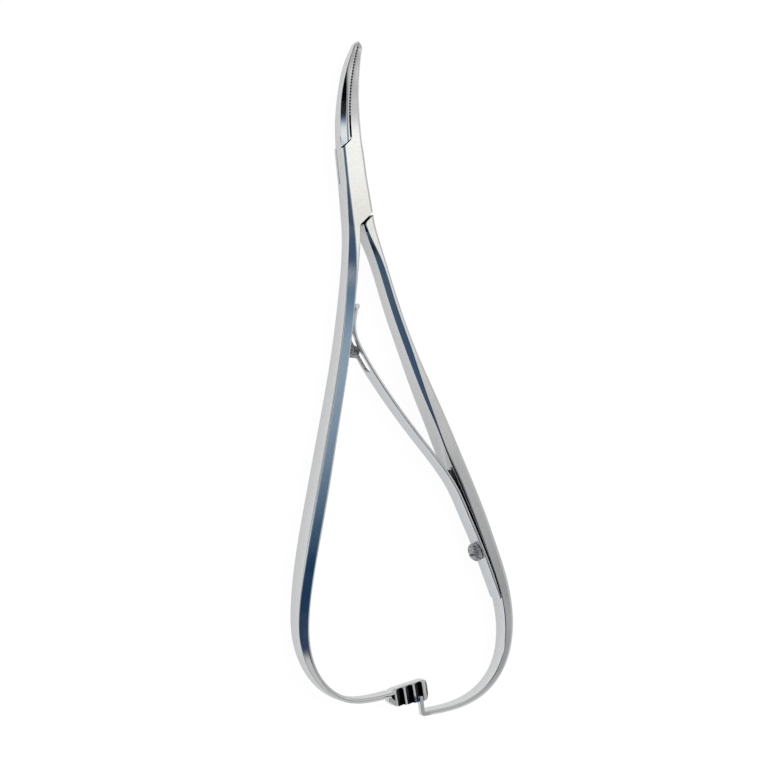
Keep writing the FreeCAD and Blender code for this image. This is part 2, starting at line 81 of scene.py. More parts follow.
def filleted(corners: Sequence[Corner], steps: int) -> list[Vector]:
    """Round the corners of a closed outline.

    Args:
        corners: Corners as (first coordinate, second coordinate, how far rounding reaches).
        steps: Pieces that each rounded corner is divided into.

    Returns:
        The points of the outline, steps + 1 for each corner.
    """
    points = []
    count = len(corners)
    for index, (first, second, reach) in enumerate(corners):
        here = Vector((first, second))
        back = Vector(corners[index - 1][:2]) - here
        ahead = Vector(corners[(index + 1) % count][:2]) - here
        run = min(reach, 0.45 * back.length, 0.45 * ahead.length)
        start, end = here + back.normalized() * run, here + ahead.normalized() * run
        for step in range(steps + 1):
            share = step / steps
            rest = 1 - share
            points.append(start * rest**2 + here * (2 * share * rest) + end * share**2)
    return points


def turned(x: float, y: float, degrees: float) -> tuple[float, float]:
    """Turn a point about the pivot.

    Args:
        x: Place across the tool.
        y: Place along the tool.
        degrees: Angle, positive to the left as seen from above.

    Returns:
        The turned point.
    """
    angle = math.radians(degrees)
    return (x * math.cos(angle) - y * math.sin(angle), x * math.sin(angle) + y * math.cos(angle))


def mirrored(outline: Sequence[tuple[float, float]]) -> list[tuple[float, float]]:
    """The same outline on the other side of the pivot."""
    return [(-x, -y) for x, y in outline]


class Spline:
    """Smooth line through rows of numbers: a natural cubic over rising knots."""

    def __init__(self, knots: Sequence[float], rows: Sequence[Sequence[float]]) -> None:
        """Solve for the bend at each knot.

        Args:
            knots: Rising values, one for each row.
            rows: The numbers that the line passes through.
        """
        self.knots = np.array(knots, float)
        self.rows = np.array(rows, float)
        count, gap = len(knots), np.diff(self.knots)
        system, right = np.eye(count), np.zeros_like(self.rows)
        for index in range(1, count - 1):
            before, after = gap[index - 1], gap[index]
            system[index, index - 1 : index + 2] = before, 2 * (before + after), after
            rise = (self.rows[index + 1] - self.rows[index]) / after
            right[index] = 6 * (rise - (self.rows[index] - self.rows[index - 1]) / before)
        self.bends = np.linalg.solve(system, right)

    def at(self, knot: float) -> np.ndarray:
        """The row of numbers at a knot value.

        Args:
            knot: Any value from the first knot to the last.

        Returns:
            The interpolated row.
        """
        low = int(np.clip(np.searchsorted(self.knots, knot) - 1, 0, len(self.knots) - 2))
        gap = self.knots[low + 1] - self.knots[low]
        near, far = (self.knots[low + 1] - knot) / gap, (knot - self.knots[low]) / gap
        curve = (near**3 - near) * self.bends[low] + (far**3 - far) * self.bends[low + 1]
        return near * self.rows[low] + far * self.rows[low + 1] + curve * gap**2 / 6


@dataclass(frozen=True)
class Section:
    """Cross-section of a bar with bevelled corners, square to its run, in millimetres."""

    place: Vector
    across: Vector
    left: float
    right: float
    half: float
    left_bevel: Bevel
    right_bevel: Bevel
    edges: tuple[float, float] = (EDGE, EDGE)
    softness: float = 0.16
    steps: int = 3

    def ring(self) -> list[Vector]:
        """The points round the section.

        Returns:
            Points in space, in order round the bar.
        """
        (left_run, left_drop), (right_run, right_drop) = self.left_bevel, self.right_bevel
        (left, right), soft = self.edges, self.softness
        upper = [
            (self.right, self.half - right_drop - right),
            (self.right - right, self.half - right_drop),
            (self.right - right - right_run, self.half),
            (self.left + left + left_run, self.half),
            (self.left + left, self.half - left_drop),
            (self.left, self.half - left_drop - left),
        ]
        corners = upper + [(n, -z) for n, z in reversed(upper)]
        flat = filleted([(n, z, soft) for n, z in corners], self.steps)
        return [self.place + self.across * n + Vector((0.0, 0.0, z)) for n, z in flat]


class Blank:
    """A closed piece of metal while it is shaped, in millimetres about the tool's mid-plane."""

    def __init__(self) -> None:
        """Start with nothing."""
        self.metal = bmesh.new()

    def sweep(self, rings: Sequence[Sequence[Vector]]) -> "Blank":
        """Grow a closed bar from ring to ring.

        Args:
            rings: Rings with the same number of points, from one end to the other.

        Returns:
            This blank.
        """
        metal = self.metal
        loop = list(bmesh.ops.create_circle(metal, segments=len(rings[0]), radius=1.0)["verts"])
        edges = list({edge for vert in loop for edge in vert.link_edges})
        ends = list(edges)
        for vert, spot in zip(loop, rings[0]):
            vert.co = spot
        for ring in rings[1:]:
            grown = bmesh.ops.extrude_edge_only(metal, edges=edges)["geom"]
            fresh = {item for item in grown if isinstance(item, bmesh.types.BMVert)}
            edges = [item for item in grown if isinstance(item, bmesh.types.BMEdge)
                     and item.verts[0] in fresh and item.verts[1] in fresh]
            loop = [next(edge.other_vert(vert) for edge in vert.link_edges
                         if edge.other_vert(vert) in fresh) for vert in loop]
            for vert, spot in zip(loop, ring):
                vert.co = spot
        bmesh.ops.holes_fill(metal, edges=ends + edges, sides=0)
        bmesh.ops.recalc_face_normals(metal, faces=metal.faces)
        return self

    def prism(self, outline: Sequence[Sequence[float]], bottom: float, top: float,
              rim: float = 0.0) -> list[bmesh.types.BMVert]:
        """Add a straight solid over an outline in plan.

        Args:
            outline: Corners in order, as (x, y).
            bottom: Height of its lower face.
            top: Height of its upper face.
            rim: Width of the rounding along the rims of both faces.

        Returns:
            The solid's vertices, for a turn or a slope.
        """
        metal = self.metal
        base = metal.faces.new([metal.verts.new((p[0], p[1], bottom)) for p in outline])
        grown = bmesh.ops.extrude_face_region(metal, geom=[base], use_keep_orig=True)["geom"]
        lid = [item for item in grown if isinstance(item, bmesh.types.BMVert)]
        bmesh.ops.translate(metal, verts=lid, vec=(0.0, 0.0, top - bottom))
        verts = list(base.verts) + lid
        faces = list({face for vert in verts for face in vert.link_faces})
        bmesh.ops.recalc_face_normals(metal, faces=faces)
        if rim > 0.0:
            rims = [edge for face in faces if abs(face.normal.z) > 0.9 for edge in face.edges]
            made = bmesh.ops.bevel(metal, geom=rims, offset=rim, segments=2, profile=0.5,
                                   affect="EDGES", material=-1)
            verts = [vert for vert in set(verts) | set(made["verts"]) if vert.is_valid]
        return verts

    def spun(self, profile: Sequence[tuple[float, float]], start: Vector, axis: Vector,
             steps: int = 64) -> "Blank":
        """Add a turned solid.

        Args:
            profile: (radius, height) pairs from the axis, out, and back to the axis.
            start: Where height 0 lies.
            axis: Direction of rising height.
            steps: Divisions of the full turn.

        Returns:
            This blank.
        """
        metal = self.metal
        verts = [metal.verts.new((radius, 0.0, height)) for radius, height in profile]
        edges = [metal.edges.new(pair) for pair in zip(verts, verts[1:])]
        known = set(metal.verts) - set(verts)
        bmesh.ops.spin(metal, geom=verts + edges, cent=(0, 0, 0), axis=(0, 0, 1),
                       angle=2 * math.pi, steps=steps, use_merge=True)
        fresh = [vert for vert in metal.verts if vert not in known]
        bmesh.ops.remove_doubles(metal, verts=fresh, dist=SPIN_MERGE)
        fresh = [vert for vert in metal.verts if vert not in known]
        turn = axis.to_track_quat("Z", "Y").to_matrix().to_4x4()
        bmesh.ops.transform(metal, matrix=Matrix.Translation(start) @ turn, verts=fresh)
        faces = list({face for vert in fresh for face in vert.link_faces})
        bmesh.ops.recalc_face_normals(metal, faces=faces)
        return self

    def combined(self, other: "Blank", join: Join) -> "Blank":
        """Combine this blank with another one.

        Args:
            other: The other blank, which is used up.
            join: Whether it is added or cut away.

        Returns:
            This blank.
        """
        body, tool = self.draft("body"), other.draft("tool")
        modifier = body.modifiers.new("join", "BOOLEAN")
        modifier.object, modifier.operation, modifier.solver = tool, join.value, "MANIFOLD"
        bpy.context.view_layer.update()
        done = body.evaluated_get(bpy.context.evaluated_depsgraph_get())
        mesh = bpy.data.meshes.new_from_object(done)
        self.metal.free()
        self.metal = bmesh.new()
        self.metal.from_mesh(mesh)
        for item in (body, tool):
            bpy.data.objects.remove(item)
        return self

    def marked(self, chosen: Callable[[bmesh.types.BMFace], bool] | None = None) -> "Blank":
        """Give faces the second finish, which cuts made with them take over.

        On the forgings that finish is near-black painted shade; on the leaf it is turned steel.

        Args:
            chosen: Says which faces, or None for all.

        Returns:
            This blank.
        """
        for face in self.metal.faces:
            if chosen is None or chosen(face):
                face.material_index = 1
        return self

    def draft(self, name: str) -> bpy.types.Object:
        """A scene object that holds the blank as it is now.

        Args:
            name: Name of the object and its mesh.

        Returns:
            The linked object, in millimetres.
        """
        mesh = bpy.data.meshes.new(name)
        mesh.materials.append(None)
        mesh.materials.append(None)
        self.metal.to_mesh(mesh)
        obj = bpy.data.objects.new(name, mesh)
        bpy.context.scene.collection.objects.link(obj)
        return obj

    def cut(self, *cutters: "Blank") -> "Blank":
        """Cut other blanks away, one after another.

        Args:
            cutters: The blanks to cut away, which are used up.

        Returns:
            This blank.
        """
        for cutter in cutters:
            self.combined(cutter, Join.CUT)
        return self

    def added(self, *others: "Blank") -> "Blank":
        """Weld other blanks on, one after another.

        Args:
            others: The blanks to weld on, which are used up.

        Returns:
            This blank.
        """
        for other in others:
            self.combined(other, Join.ADD)
        return self

    def finished(self, name: str) -> bpy.types.Object:
        """Turn the blank into a piece of the model, in metres and in its place.

        Args:
            name: The piece's name.

        Returns:
            The scene object, smooth apart from its sharp edges.
        """
        metal = self.metal
        bmesh.ops.remove_doubles(metal, verts=metal.verts, dist=MERGE_DISTANCE)
        bmesh.ops.dissolve_degenerate(metal, edges=metal.edges, dist=FLAT_EDGE)
        bmesh.ops.recalc_face_normals(metal, faces=metal.faces)
        LOG.info("%s: %d faces, %.1f mm3", name, len(metal.faces), metal.calc_volume())
        obj = self.draft(name)
        obj.data.transform(TO_PART)
        obj.data.shade_smooth()
        obj.data.set_sharp_from_angle(angle=SHARP_ANGLE)
        even = obj.modifiers.new("even_normals", "WEIGHTED_NORMAL")
        even.keep_sharp = True
        metal.free()
        return obj


def slab(outline: Sequence[Sequence[float]], bottom: float, top: float,
         rim: float = 0.0) -> Blank:
    """A blank that is one straight solid.

    Args:
        outline: Corners in order, as (x, y).
        bottom: Height of its lower face.
        top: Height of its upper face.
        rim: Width of the rounding along the rims of both faces.

    Returns:
        The closed blank.
    """
    blank = Blank()
    blank.prism(outline, bottom, top, rim)
    return blank


def round_bar(radius: float, bottom: float, top: float) -> Blank:
    """A blank that is a round bar about the pivot's axis.

    Args:
        radius: Its radius.
        bottom: Height of its lower face.
        top: Height of its upper face.

    Returns:
        The closed blank.
    """
    profile = [(0.0, bottom), (radius, bottom), (radius, top), (0.0, top)]
    return Blank().spun(profile, Vector((0.0, 0.0, 0.0)), Vector((0.0, 0.0, 1.0)))


@dataclass(frozen=True)
class BoxLock:
    """The slotted box, its shoulders and the tongue that turns in it."""

    thickness: float = 5.0
    top_half_width: float = 2.2
    waist_half_width: float = 2.37
    foot_half_width: float = 2.88
    length_above: float = 8.9
    length_below: float = 9.0
    foot_overrun: float = 0.04
    edge_bevel: float = 0.35
    foot_bevel: float = 0.9
    bevel_rise: float = 0.6
    shoulder_reach: float = 8.6
    shoulder_angle: float = 36.0
    arm_gap: float = 0.7
    jaw_gap: float = 0.25
    low_gap: float = 0.04
    low_share: float = 0.2
    parting_offset: float = 0.3
    parting_gap: float = 0.1
    opening_angle: float = 15.0
    tongue_thickness: float = 2.6
    tongue_clearance: float = 0.08
    side_clearance: float = 0.06
    tongue_root: float = 9.3
    tongue_top_half_width: float = 2.17
    hub_radius: float = 2.3
    neck_height: float = 3.2
    neck_start_angle: float = 70.0
    pin_diameter: float = 1.9

    @property
    def small_bevel(self) -> Bevel:
        """Run and drop of the box's small bevels."""
        return (self.edge_bevel, self.edge_bevel * self.bevel_rise)

    def half_width(self, y: float) -> float:
        """Half the width of the box at a height.

        Args:
            y: Height over the pivot.

        Returns:
            The half width.
        """
        heights = [-self.length_below, 0.0, self.length_above]
        return float(np.interp(y, heights, [self.foot_half_width, self.waist_half_width,
                                            self.top_half_width]))

    def shoulder(self, x: float) -> float:
        """Height of the upper shoulder line at a place across the tool."""
        return self.shoulder_reach + math.tan(math.radians(self.shoulder_angle)) * x

    def tongue_edges(self, room: float) -> tuple[list, list]:
        """Both edges of the upper half of the tongue, or of the slot round it.

        Args:
            room: How far the edges stand off the tongue itself.

        Returns:
            The right edge from the hub up, and the left edge down to the hub.
        """
        lean = math.radians(self.neck_start_angle)
        hub = self.hub_radius + room
        inner = room - self.parting_offset - self.parting_gap / 2
        right = [(hub * math.cos(lean), hub * math.sin(lean)), (inner, self.neck_height),
                 (inner, self.tongue_root)]
        left = [(-self.tongue_top_half_width, self.tongue_root), (-hub, 0.0)]
        return right, left

    def tongue(self) -> Blank:
        """The flat tongue with the hub round its pin.

        Returns:
            A closed blank.
        """
        half = self.tongue_thickness / 2
        low = -half - 0.9 * self.tongue_clearance
        right, left = self.tongue_edges(0.0)
        outline = [(0.0, 0.0)] + right + left
        return round_bar(self.hub_radius, low, half).added(
            slab(outline, low, half), slab(mirrored(outline), low, half))

    def slot(self) -> Blank:
        """The room that the tongue sweeps from shut to fully open.

        Returns:
            A closed cutter.
        """
        half = self.tongue_thickness / 2 + self.tongue_clearance
        right, left = self.tongue_edges(self.side_clearance)
        reach = self.length_above + 1.5
        right[-1] = (right[-1][0], reach)
        side, hub = (turned(*corner, self.opening_angle) for corner in left)
        outside = -3 * self.foot_half_width
        steep = (side[1] - hub[1]) / (side[0] - hub[0])
        swept = (outside, hub[1] + steep * (outside - hub[0]))
        room = [(0.0, 0.0)] + right + [(outside, max(reach, swept[1] + 1)), swept, hub]
        return round_bar(self.hub_radius + self.side_clearance, -half, half).added(
            slab(room, -half, half), slab(mirrored(room), -half, half))

    def upper_step(self) -> Blank:
        """Everything over the upper shoulder line and left of the parting line.

        Returns:
            A closed cutter.
        """
        far, edge = 4 * self.foot_half_width, self.parting_gap / 2 - self.parting_offset
        return slab([(-far, self.shoulder(-far)), (edge, self.shoulder(edge)),
                     (edge, self.length_above), (-far, self.length_above)],
                    -self.thickness, self.thickness)

    def lower_step(self, edge: float) -> Blank:
        """Everything under the lower shoulder line of the box and right of an edge.

        Args:
            edge: Place of the inner face of the left arm's root.

        Returns:
            A closed cutter, which ends just under the foot of the box.
        """
        far, foot = 2 * self.foot_half_width, -self.length_below - self.foot_overrun
        return slab([(edge, foot), (far, foot), (far, -self.shoulder(-far)),
                     (edge, -self.shoulder(-edge))], -self.thickness, self.thickness)

    def over_line(self, gap: float) -> Blank:
        """Everything over the lower shoulder line, moved down by a gap.

        Args:
            gap: Distance of the arm's head from the shoulder.

        Returns:
            A closed cutter.
        """
        far = 3 * self.foot_half_width
        return slab([(-1.0, -self.shoulder(1.0) - gap), (far, -self.shoulder(-far) - gap),
                     (far, far), (-1.0, far)], -self.thickness, self.thickness)

    def under_jaw(self) -> Blank:
        """Everything under the end of the left jaw, which stands off the upper shoulder.

        Returns:
            A closed cutter.
        """
        far = 3 * self.foot_half_width
        lower, upper = (
            slab([(-far, self.shoulder(-far) + gap), (far, self.shoulder(far) + gap),
                  (far, -far), (-far, -far)], low * self.thickness, self.thickness)
            for gap, low in ((self.low_gap, -1.0), (self.jaw_gap, self.low_share)))
        return lower.added(upper)


@dataclass(frozen=True)
class Jaws:
    """The two curved jaws, which meet on one arc, and their teeth."""

    lock: BoxLock
    arc_radius: float = 49.0
    arc_start: float = 6.5
    gap: float = 0.08
    bevel_rise: float = 0.85
    rows: tuple[Row, ...] = (
        (0.0, 1.9, 2.5, 5.0, 1.1, 0.35), (3.0, 1.88, 2.5, 4.95, 1.12, 0.35),
        (8.0, 1.78, 2.38, 4.5, 1.0, 0.4), (11.0, 1.71, 2.24, 4.08, 0.94, 0.4),
        (13.0, 1.65, 2.12, 3.8, 0.84, 0.4), (16.0, 1.54, 1.92, 3.34, 0.54, 0.35),
        (18.0, 1.45, 1.76, 3.05, 0.27, 0.32), (22.0, 1.17, 1.4, 2.45, 0.18, 0.25),
        (24.5, 0.92, 1.16, 2.0, 0.18, 0.2), (26.0, 0.6, 0.75, 1.5, 0.12, 0.12),
        (26.57, 0.2, 0.26, 0.9, 0.06, 0.06),
    )
    inner_bevel: Bevel = (0.06, 0.05)
    relief_width: float = 0.45
    relief_angles: tuple[float, float] = (2.9, 8.2)
    relief_steps: int = 14
    tooth_pitch: float = 0.63
    tooth_depth: float = 0.27
    tooth_half_width: float = 0.22
    tooth_angles: tuple[float, float] = (8.7, 25.6)
    rise_angles: tuple[float, float] = (0.0, 3.0)
    softness_angles: tuple[float, ...] = (0.0, 3.0, 20.0, 26.6)
    root_softness: float = 0.16
    softness: float = 0.2
    tip_softness: float = 0.35

    def point(self, degrees: float, offset: float = 0.0) -> tuple[float, float]:
        """Point of the line where the jaws meet, moved to the right.

        Args:
            degrees: Angle along the arc.
            offset: Distance to the right.

        Returns:
            The point in plan.
        """
        angle, radius = math.radians(degrees), self.arc_radius - offset
        return (self.arc_radius - self.lock.parting_offset - radius * math.cos(angle),
                self.arc_start + radius * math.sin(angle))

    def section(self, degrees: float, left: float | None = None,
                right: float | None = None) -> Section:
        """Section of one jaw, or of both as one bar.

        Args:
            degrees: Angle along the arc.
            left: Left face, or the left jaw's own outer face.
            right: Right face, or the right jaw's own outer face.

        Returns:
            The section, square to the arc.
        """
        rows = self.rows
        angles = [row[0] for row in rows]
        line = Spline(angles, [row[1:] for row in rows])
        width_left, width_right, thickness, *bevels = (float(v) for v in line.at(degrees))
        rise = float(np.interp(degrees, self.rise_angles, [self.lock.bevel_rise, self.bevel_rise]))
        angle = math.radians(degrees)
        soft = float(np.interp(degrees, self.softness_angles,
                               [self.root_softness, self.softness, self.softness,
                                self.tip_softness]))
        return Section(Vector((*self.point(degrees), 0.0)),
                       Vector((math.cos(angle), -math.sin(angle), 0.0)),
                       -width_left if left is None else left,
                       width_right if right is None else right, thickness / 2,
                       (bevels[0], bevels[0] * rise) if left is None else self.inner_bevel,
                       (bevels[1], bevels[1] * rise) if right is None else self.inner_bevel,
                       softness=soft)

    def angles(self, first: float, last: float, count: int) -> list[float]:
        """Angles from one end to the other, closer together towards the tip.

        Args:
            first: First angle.
            last: Last angle.
            count: Number of angles.

        Returns:
            The list of angles.
        """
        tip = self.rows[-1][0]
        shares = np.linspace(math.sqrt(tip - first), math.sqrt(tip - last), count)
        return [tip - float(share) ** 2 for share in shares]

    def sections(self, side: Side, root: float, count: int = 70) -> list[Section]:
        """Sections of one jaw from its tip to its root.

        Args:
            side: Which jaw.
            root: Angle at its root.
            count: Number of sections.

        Returns:
            The sections in order.
        """
        half_gap = self.gap / 2
        angles = self.angles(self.rows[-1][0], root, count)
        if side is Side.LEFT:
            return [self.section(angle, right=-half_gap) for angle in angles]
        return [self.section(angle, left=half_gap) for angle in angles]

    def relief(self) -> Blank:
        """The smooth gap between the jaws behind their teeth.

        Returns:
            A closed cutter.
        """
        angles = [float(a) for a in np.linspace(*self.relief_angles, self.relief_steps)]
        half = self.relief_width / 2
        outline = [self.point(a, -half) for a in angles]
        outline += [self.point(a, half) for a in angles[::-1]]
        return slab(outline, -self.lock.thickness, self.lock.thickness)

    def teeth(self) -> Blank:
        """The diamond gaps that the meeting cross teeth leave.

        Returns:
            A cutter of many closed diamonds.
        """
        step = math.degrees(self.tooth_pitch / self.arc_radius)
        spread = math.degrees(self.tooth_half_width / self.arc_radius)
        cutter = Blank()
        angle = self.tooth_angles[0]
        while angle < self.tooth_angles[1]:
            cutter.prism([self.point(angle - spread), self.point(angle, self.tooth_depth),
                          self.point(angle + spread), self.point(angle, -self.tooth_depth)],
                         -self.lock.thickness, self.lock.thickness)
            angle += step
        return cutter


class ArmRun:
    """One palm arm: where its middle lies, how thick it is and how it is bevelled."""

    ledge_heights = (4.5, 0.0, -4.5)
    square_height = -14.3
    small_step = 0.02
    end_trim = 0.03
    reach_share = 0.8
    halvings = 40

    def __init__(self, lock: BoxLock, side: Side, rows: Sequence[Row], root: Row) -> None:
        """Lay a smooth line through the arm's rows and the side of the box above them.

        Args:
            lock: The box that the arm grows from.
            side: Which side the arm bows to.
            rows: (x, y, thickness, width along Z, outer bevel, inner bevel, outer drop,
                inner drop, outer edge) down the arm.
            root: Thickness, outer bevel and inner bevel where the arm leaves the box.
        """
        self.side, self.lock = side.value, lock
        thickness, outer, inner = root
        ledge = []
        for y in (*self.ledge_heights, -lock.length_below):
            middle = self.side * (lock.half_width(y) - thickness / 2)
            bevel = float(np.interp(y, [-lock.length_below, 0.0], [outer, lock.edge_bevel]))
            ledge.append((middle, y, thickness, lock.thickness, bevel, inner,
                          bevel * lock.bevel_rise, inner * lock.bevel_rise, EDGE))
        self.rows = ledge + list(rows)
        steps = [math.dist(a[:2], b[:2]) for a, b in zip(self.rows, self.rows[1:])]
        self.knots = [0.0] + list(np.cumsum(steps))
        self.line = Spline(self.knots, self.rows)
        self.root_knot = self.knots[len(ledge) - 1]

    def frame_at(self, knot: float) -> tuple[np.ndarray, Vector]:
        """The row of sizes and the direction to the right at a place on the arm.

        Args:
            knot: Distance along the arm.

        Returns:
            The sizes, and a unit vector across the run.
        """
        ahead, behind = knot + self.small_step, knot - self.small_step
        step = self.line.at(ahead)[:2] - self.line.at(behind)[:2]
        along = Vector((float(step[0]), float(step[1]), 0.0)).normalized()
        row = self.line.at(knot)
        share = float(np.interp(row[1], [self.square_height, -self.lock.length_below],
                                [1.0, 0.0]))
        share = share * share * (3 - 2 * share)
        across = Vector((-along.y, along.x, 0.0)).lerp(Vector((1.0, 0.0, 0.0)), 1.0 - share)
        return row, across.normalized()

    def section(self, knot: float) -> Section:
        """Section of the arm.

        Args:
            knot: Distance along the arm.

        Returns:
            The section, square to the run.
        """
        (x, y, thickness, width, *bevels), across = self.frame_at(knot)
        sides = [(bevels[0], bevels[2]), (bevels[1], bevels[3])]
        edges = [bevels[4], EDGE]
        if self.side > 0:
            sides, edges = sides[::-1], edges[::-1]
        return Section(Vector((x, y, 0.0)), across, -thickness / 2, thickness / 2, width / 2,
                       *sides, tuple(edges))

    def sections(self, start: float, count: int = 150) -> list[Section]:
        """Sections from a distance along the arm to its end.

        Args:
            start: Distance along the arm.
            count: Number of sections.

        Returns:
            The sections in order.
        """
        last = self.knots[-1] - self.end_trim
        return [self.section(float(knot)) for knot in np.linspace(start, last, count)]

    def inner_face(self, y: float, lift: float = 0.0) -> tuple[Vector, Vector]:
        """Point over the inner face, and the direction away from the arm.

        Args:
            y: Height where the arm's middle passes.
            lift: Distance off the face.

        Returns:
            The point and the unit direction.
        """
        high, low = self.root_knot, self.knots[-1] * self.reach_share
        for _ in range(self.halvings):
            middle = (high + low) / 2
            if self.line.at(middle)[1] > y:
                high = middle
            else:
                low = middle
        row, across = self.frame_at(middle)
        inward = across * -self.side
        return Vector((row[0], row[1], 0.0)) + inward * (row[2] / 2 + lift), inward


LEFT_ROWS = (
    (-2.42, -14.3, 2.35, 5.1, 1.4, 0.12, 0.75, 0.1, 0.06),
    (-4.55, -24.1, 2.1, 5.3, 1.65, 0.12, 0.5, 0.1, 0.12),
    (-7.95, -36.9, 2.15, 5.6, 1.6, 0.12, 0.2, 0.08, 0.3),
    (-12.0, -49.8, 2.35, 5.9, 1.65, 0.12, 0.13, 0.08, 0.36),
    (-16.1, -62.5, 2.65, 6.098, 1.9, 0.15, 0.14, 0.08, 0.36),
    (-20.15, -75.0, 2.6, 6.0, 1.9, 0.15, 0.14, 0.1, 0.3),
    (-22.6, -84.3, 2.4, 5.4, 1.8, 0.15, 0.16, 0.1, 0.2),
    (-23.4, -91.0, 2.2, 4.8, 1.6, 0.15, 0.2, 0.1, 0.12),
    (-22.4, -97.2, 1.65, 4.4, 0.9, 0.2, 0.2, 0.12, 0.08),
    (-19.5, -102.2, 1.25, 4.1, 0.35, 0.2, 0.18, 0.12, 0.06),
    (-15.4, -105.1, 1.1, 4.0, 0.25, 0.2, 0.15, 0.12, 0.06),
    (-11.0, -106.0, 1.05, 4.0, 0.25, 0.2, 0.15, 0.12, 0.06),
    (-5.6, -105.9, 1.05, 4.0, 0.25, 0.2, 0.15, 0.12, 0.06),
)
RIGHT_ROWS = (
    (2.95, -15.2, 2.05, 5.1, 0.3, 0.75, 0.2, 0.5, 0.06),
    (5.05, -25.5, 1.95, 5.3, 0.3, 0.95, 0.2, 0.58, 0.06),
    (7.6, -35.9, 2.15, 5.6, 0.35, 0.95, 0.25, 0.58, 0.06),
    (10.7, -46.4, 2.7, 5.9, 0.4, 0.5, 0.25, 0.33, 0.06),
    (12.7, -52.6, 2.9, 6.0, 0.45, 0.2, 0.3, 0.14, 0.06),
    (14.0, -57.1, 3.05, 6.095, 0.5, 0.2, 0.3, 0.16, 0.06),
    (15.7, -62.5, 3.05, 6.095, 0.5, 0.42, 0.3, 0.34, 0.06),
    (17.35, -67.8, 3.0, 6.095, 0.5, 0.35, 0.3, 0.28, 0.06),
    (19.0, -73.4, 2.87, 6.05, 0.5, 0.2, 0.3, 0.16, 0.06),
    (20.3, -78.2, 2.7, 5.9, 0.5, 0.14, 0.3, 0.1, 0.06),
    (22.1, -85.4, 2.5, 5.4, 0.5, 0.12, 0.3, 0.08, 0.06),
    (22.99, -92.0, 2.2, 4.9, 0.45, 0.1, 0.28, 0.08, 0.06),
    (22.5, -98.6, 1.9, 4.4, 0.4, 0.1, 0.25, 0.08, 0.06),
    (19.95, -104.8, 1.5, 4.1, 0.35, 0.1, 0.22, 0.08, 0.06),
    (15.5, -108.9, 1.2, 4.0, 0.3, 0.1, 0.18, 0.08, 0.06),
    (10.2, -110.8, 1.05, 4.0, 0.25, 0.1, 0.15, 0.08, 0.06),
    (2.2, -111.15, 0.95, 4.0, 0.2, 0.1, 0.12, 0.08, 0.06),
)


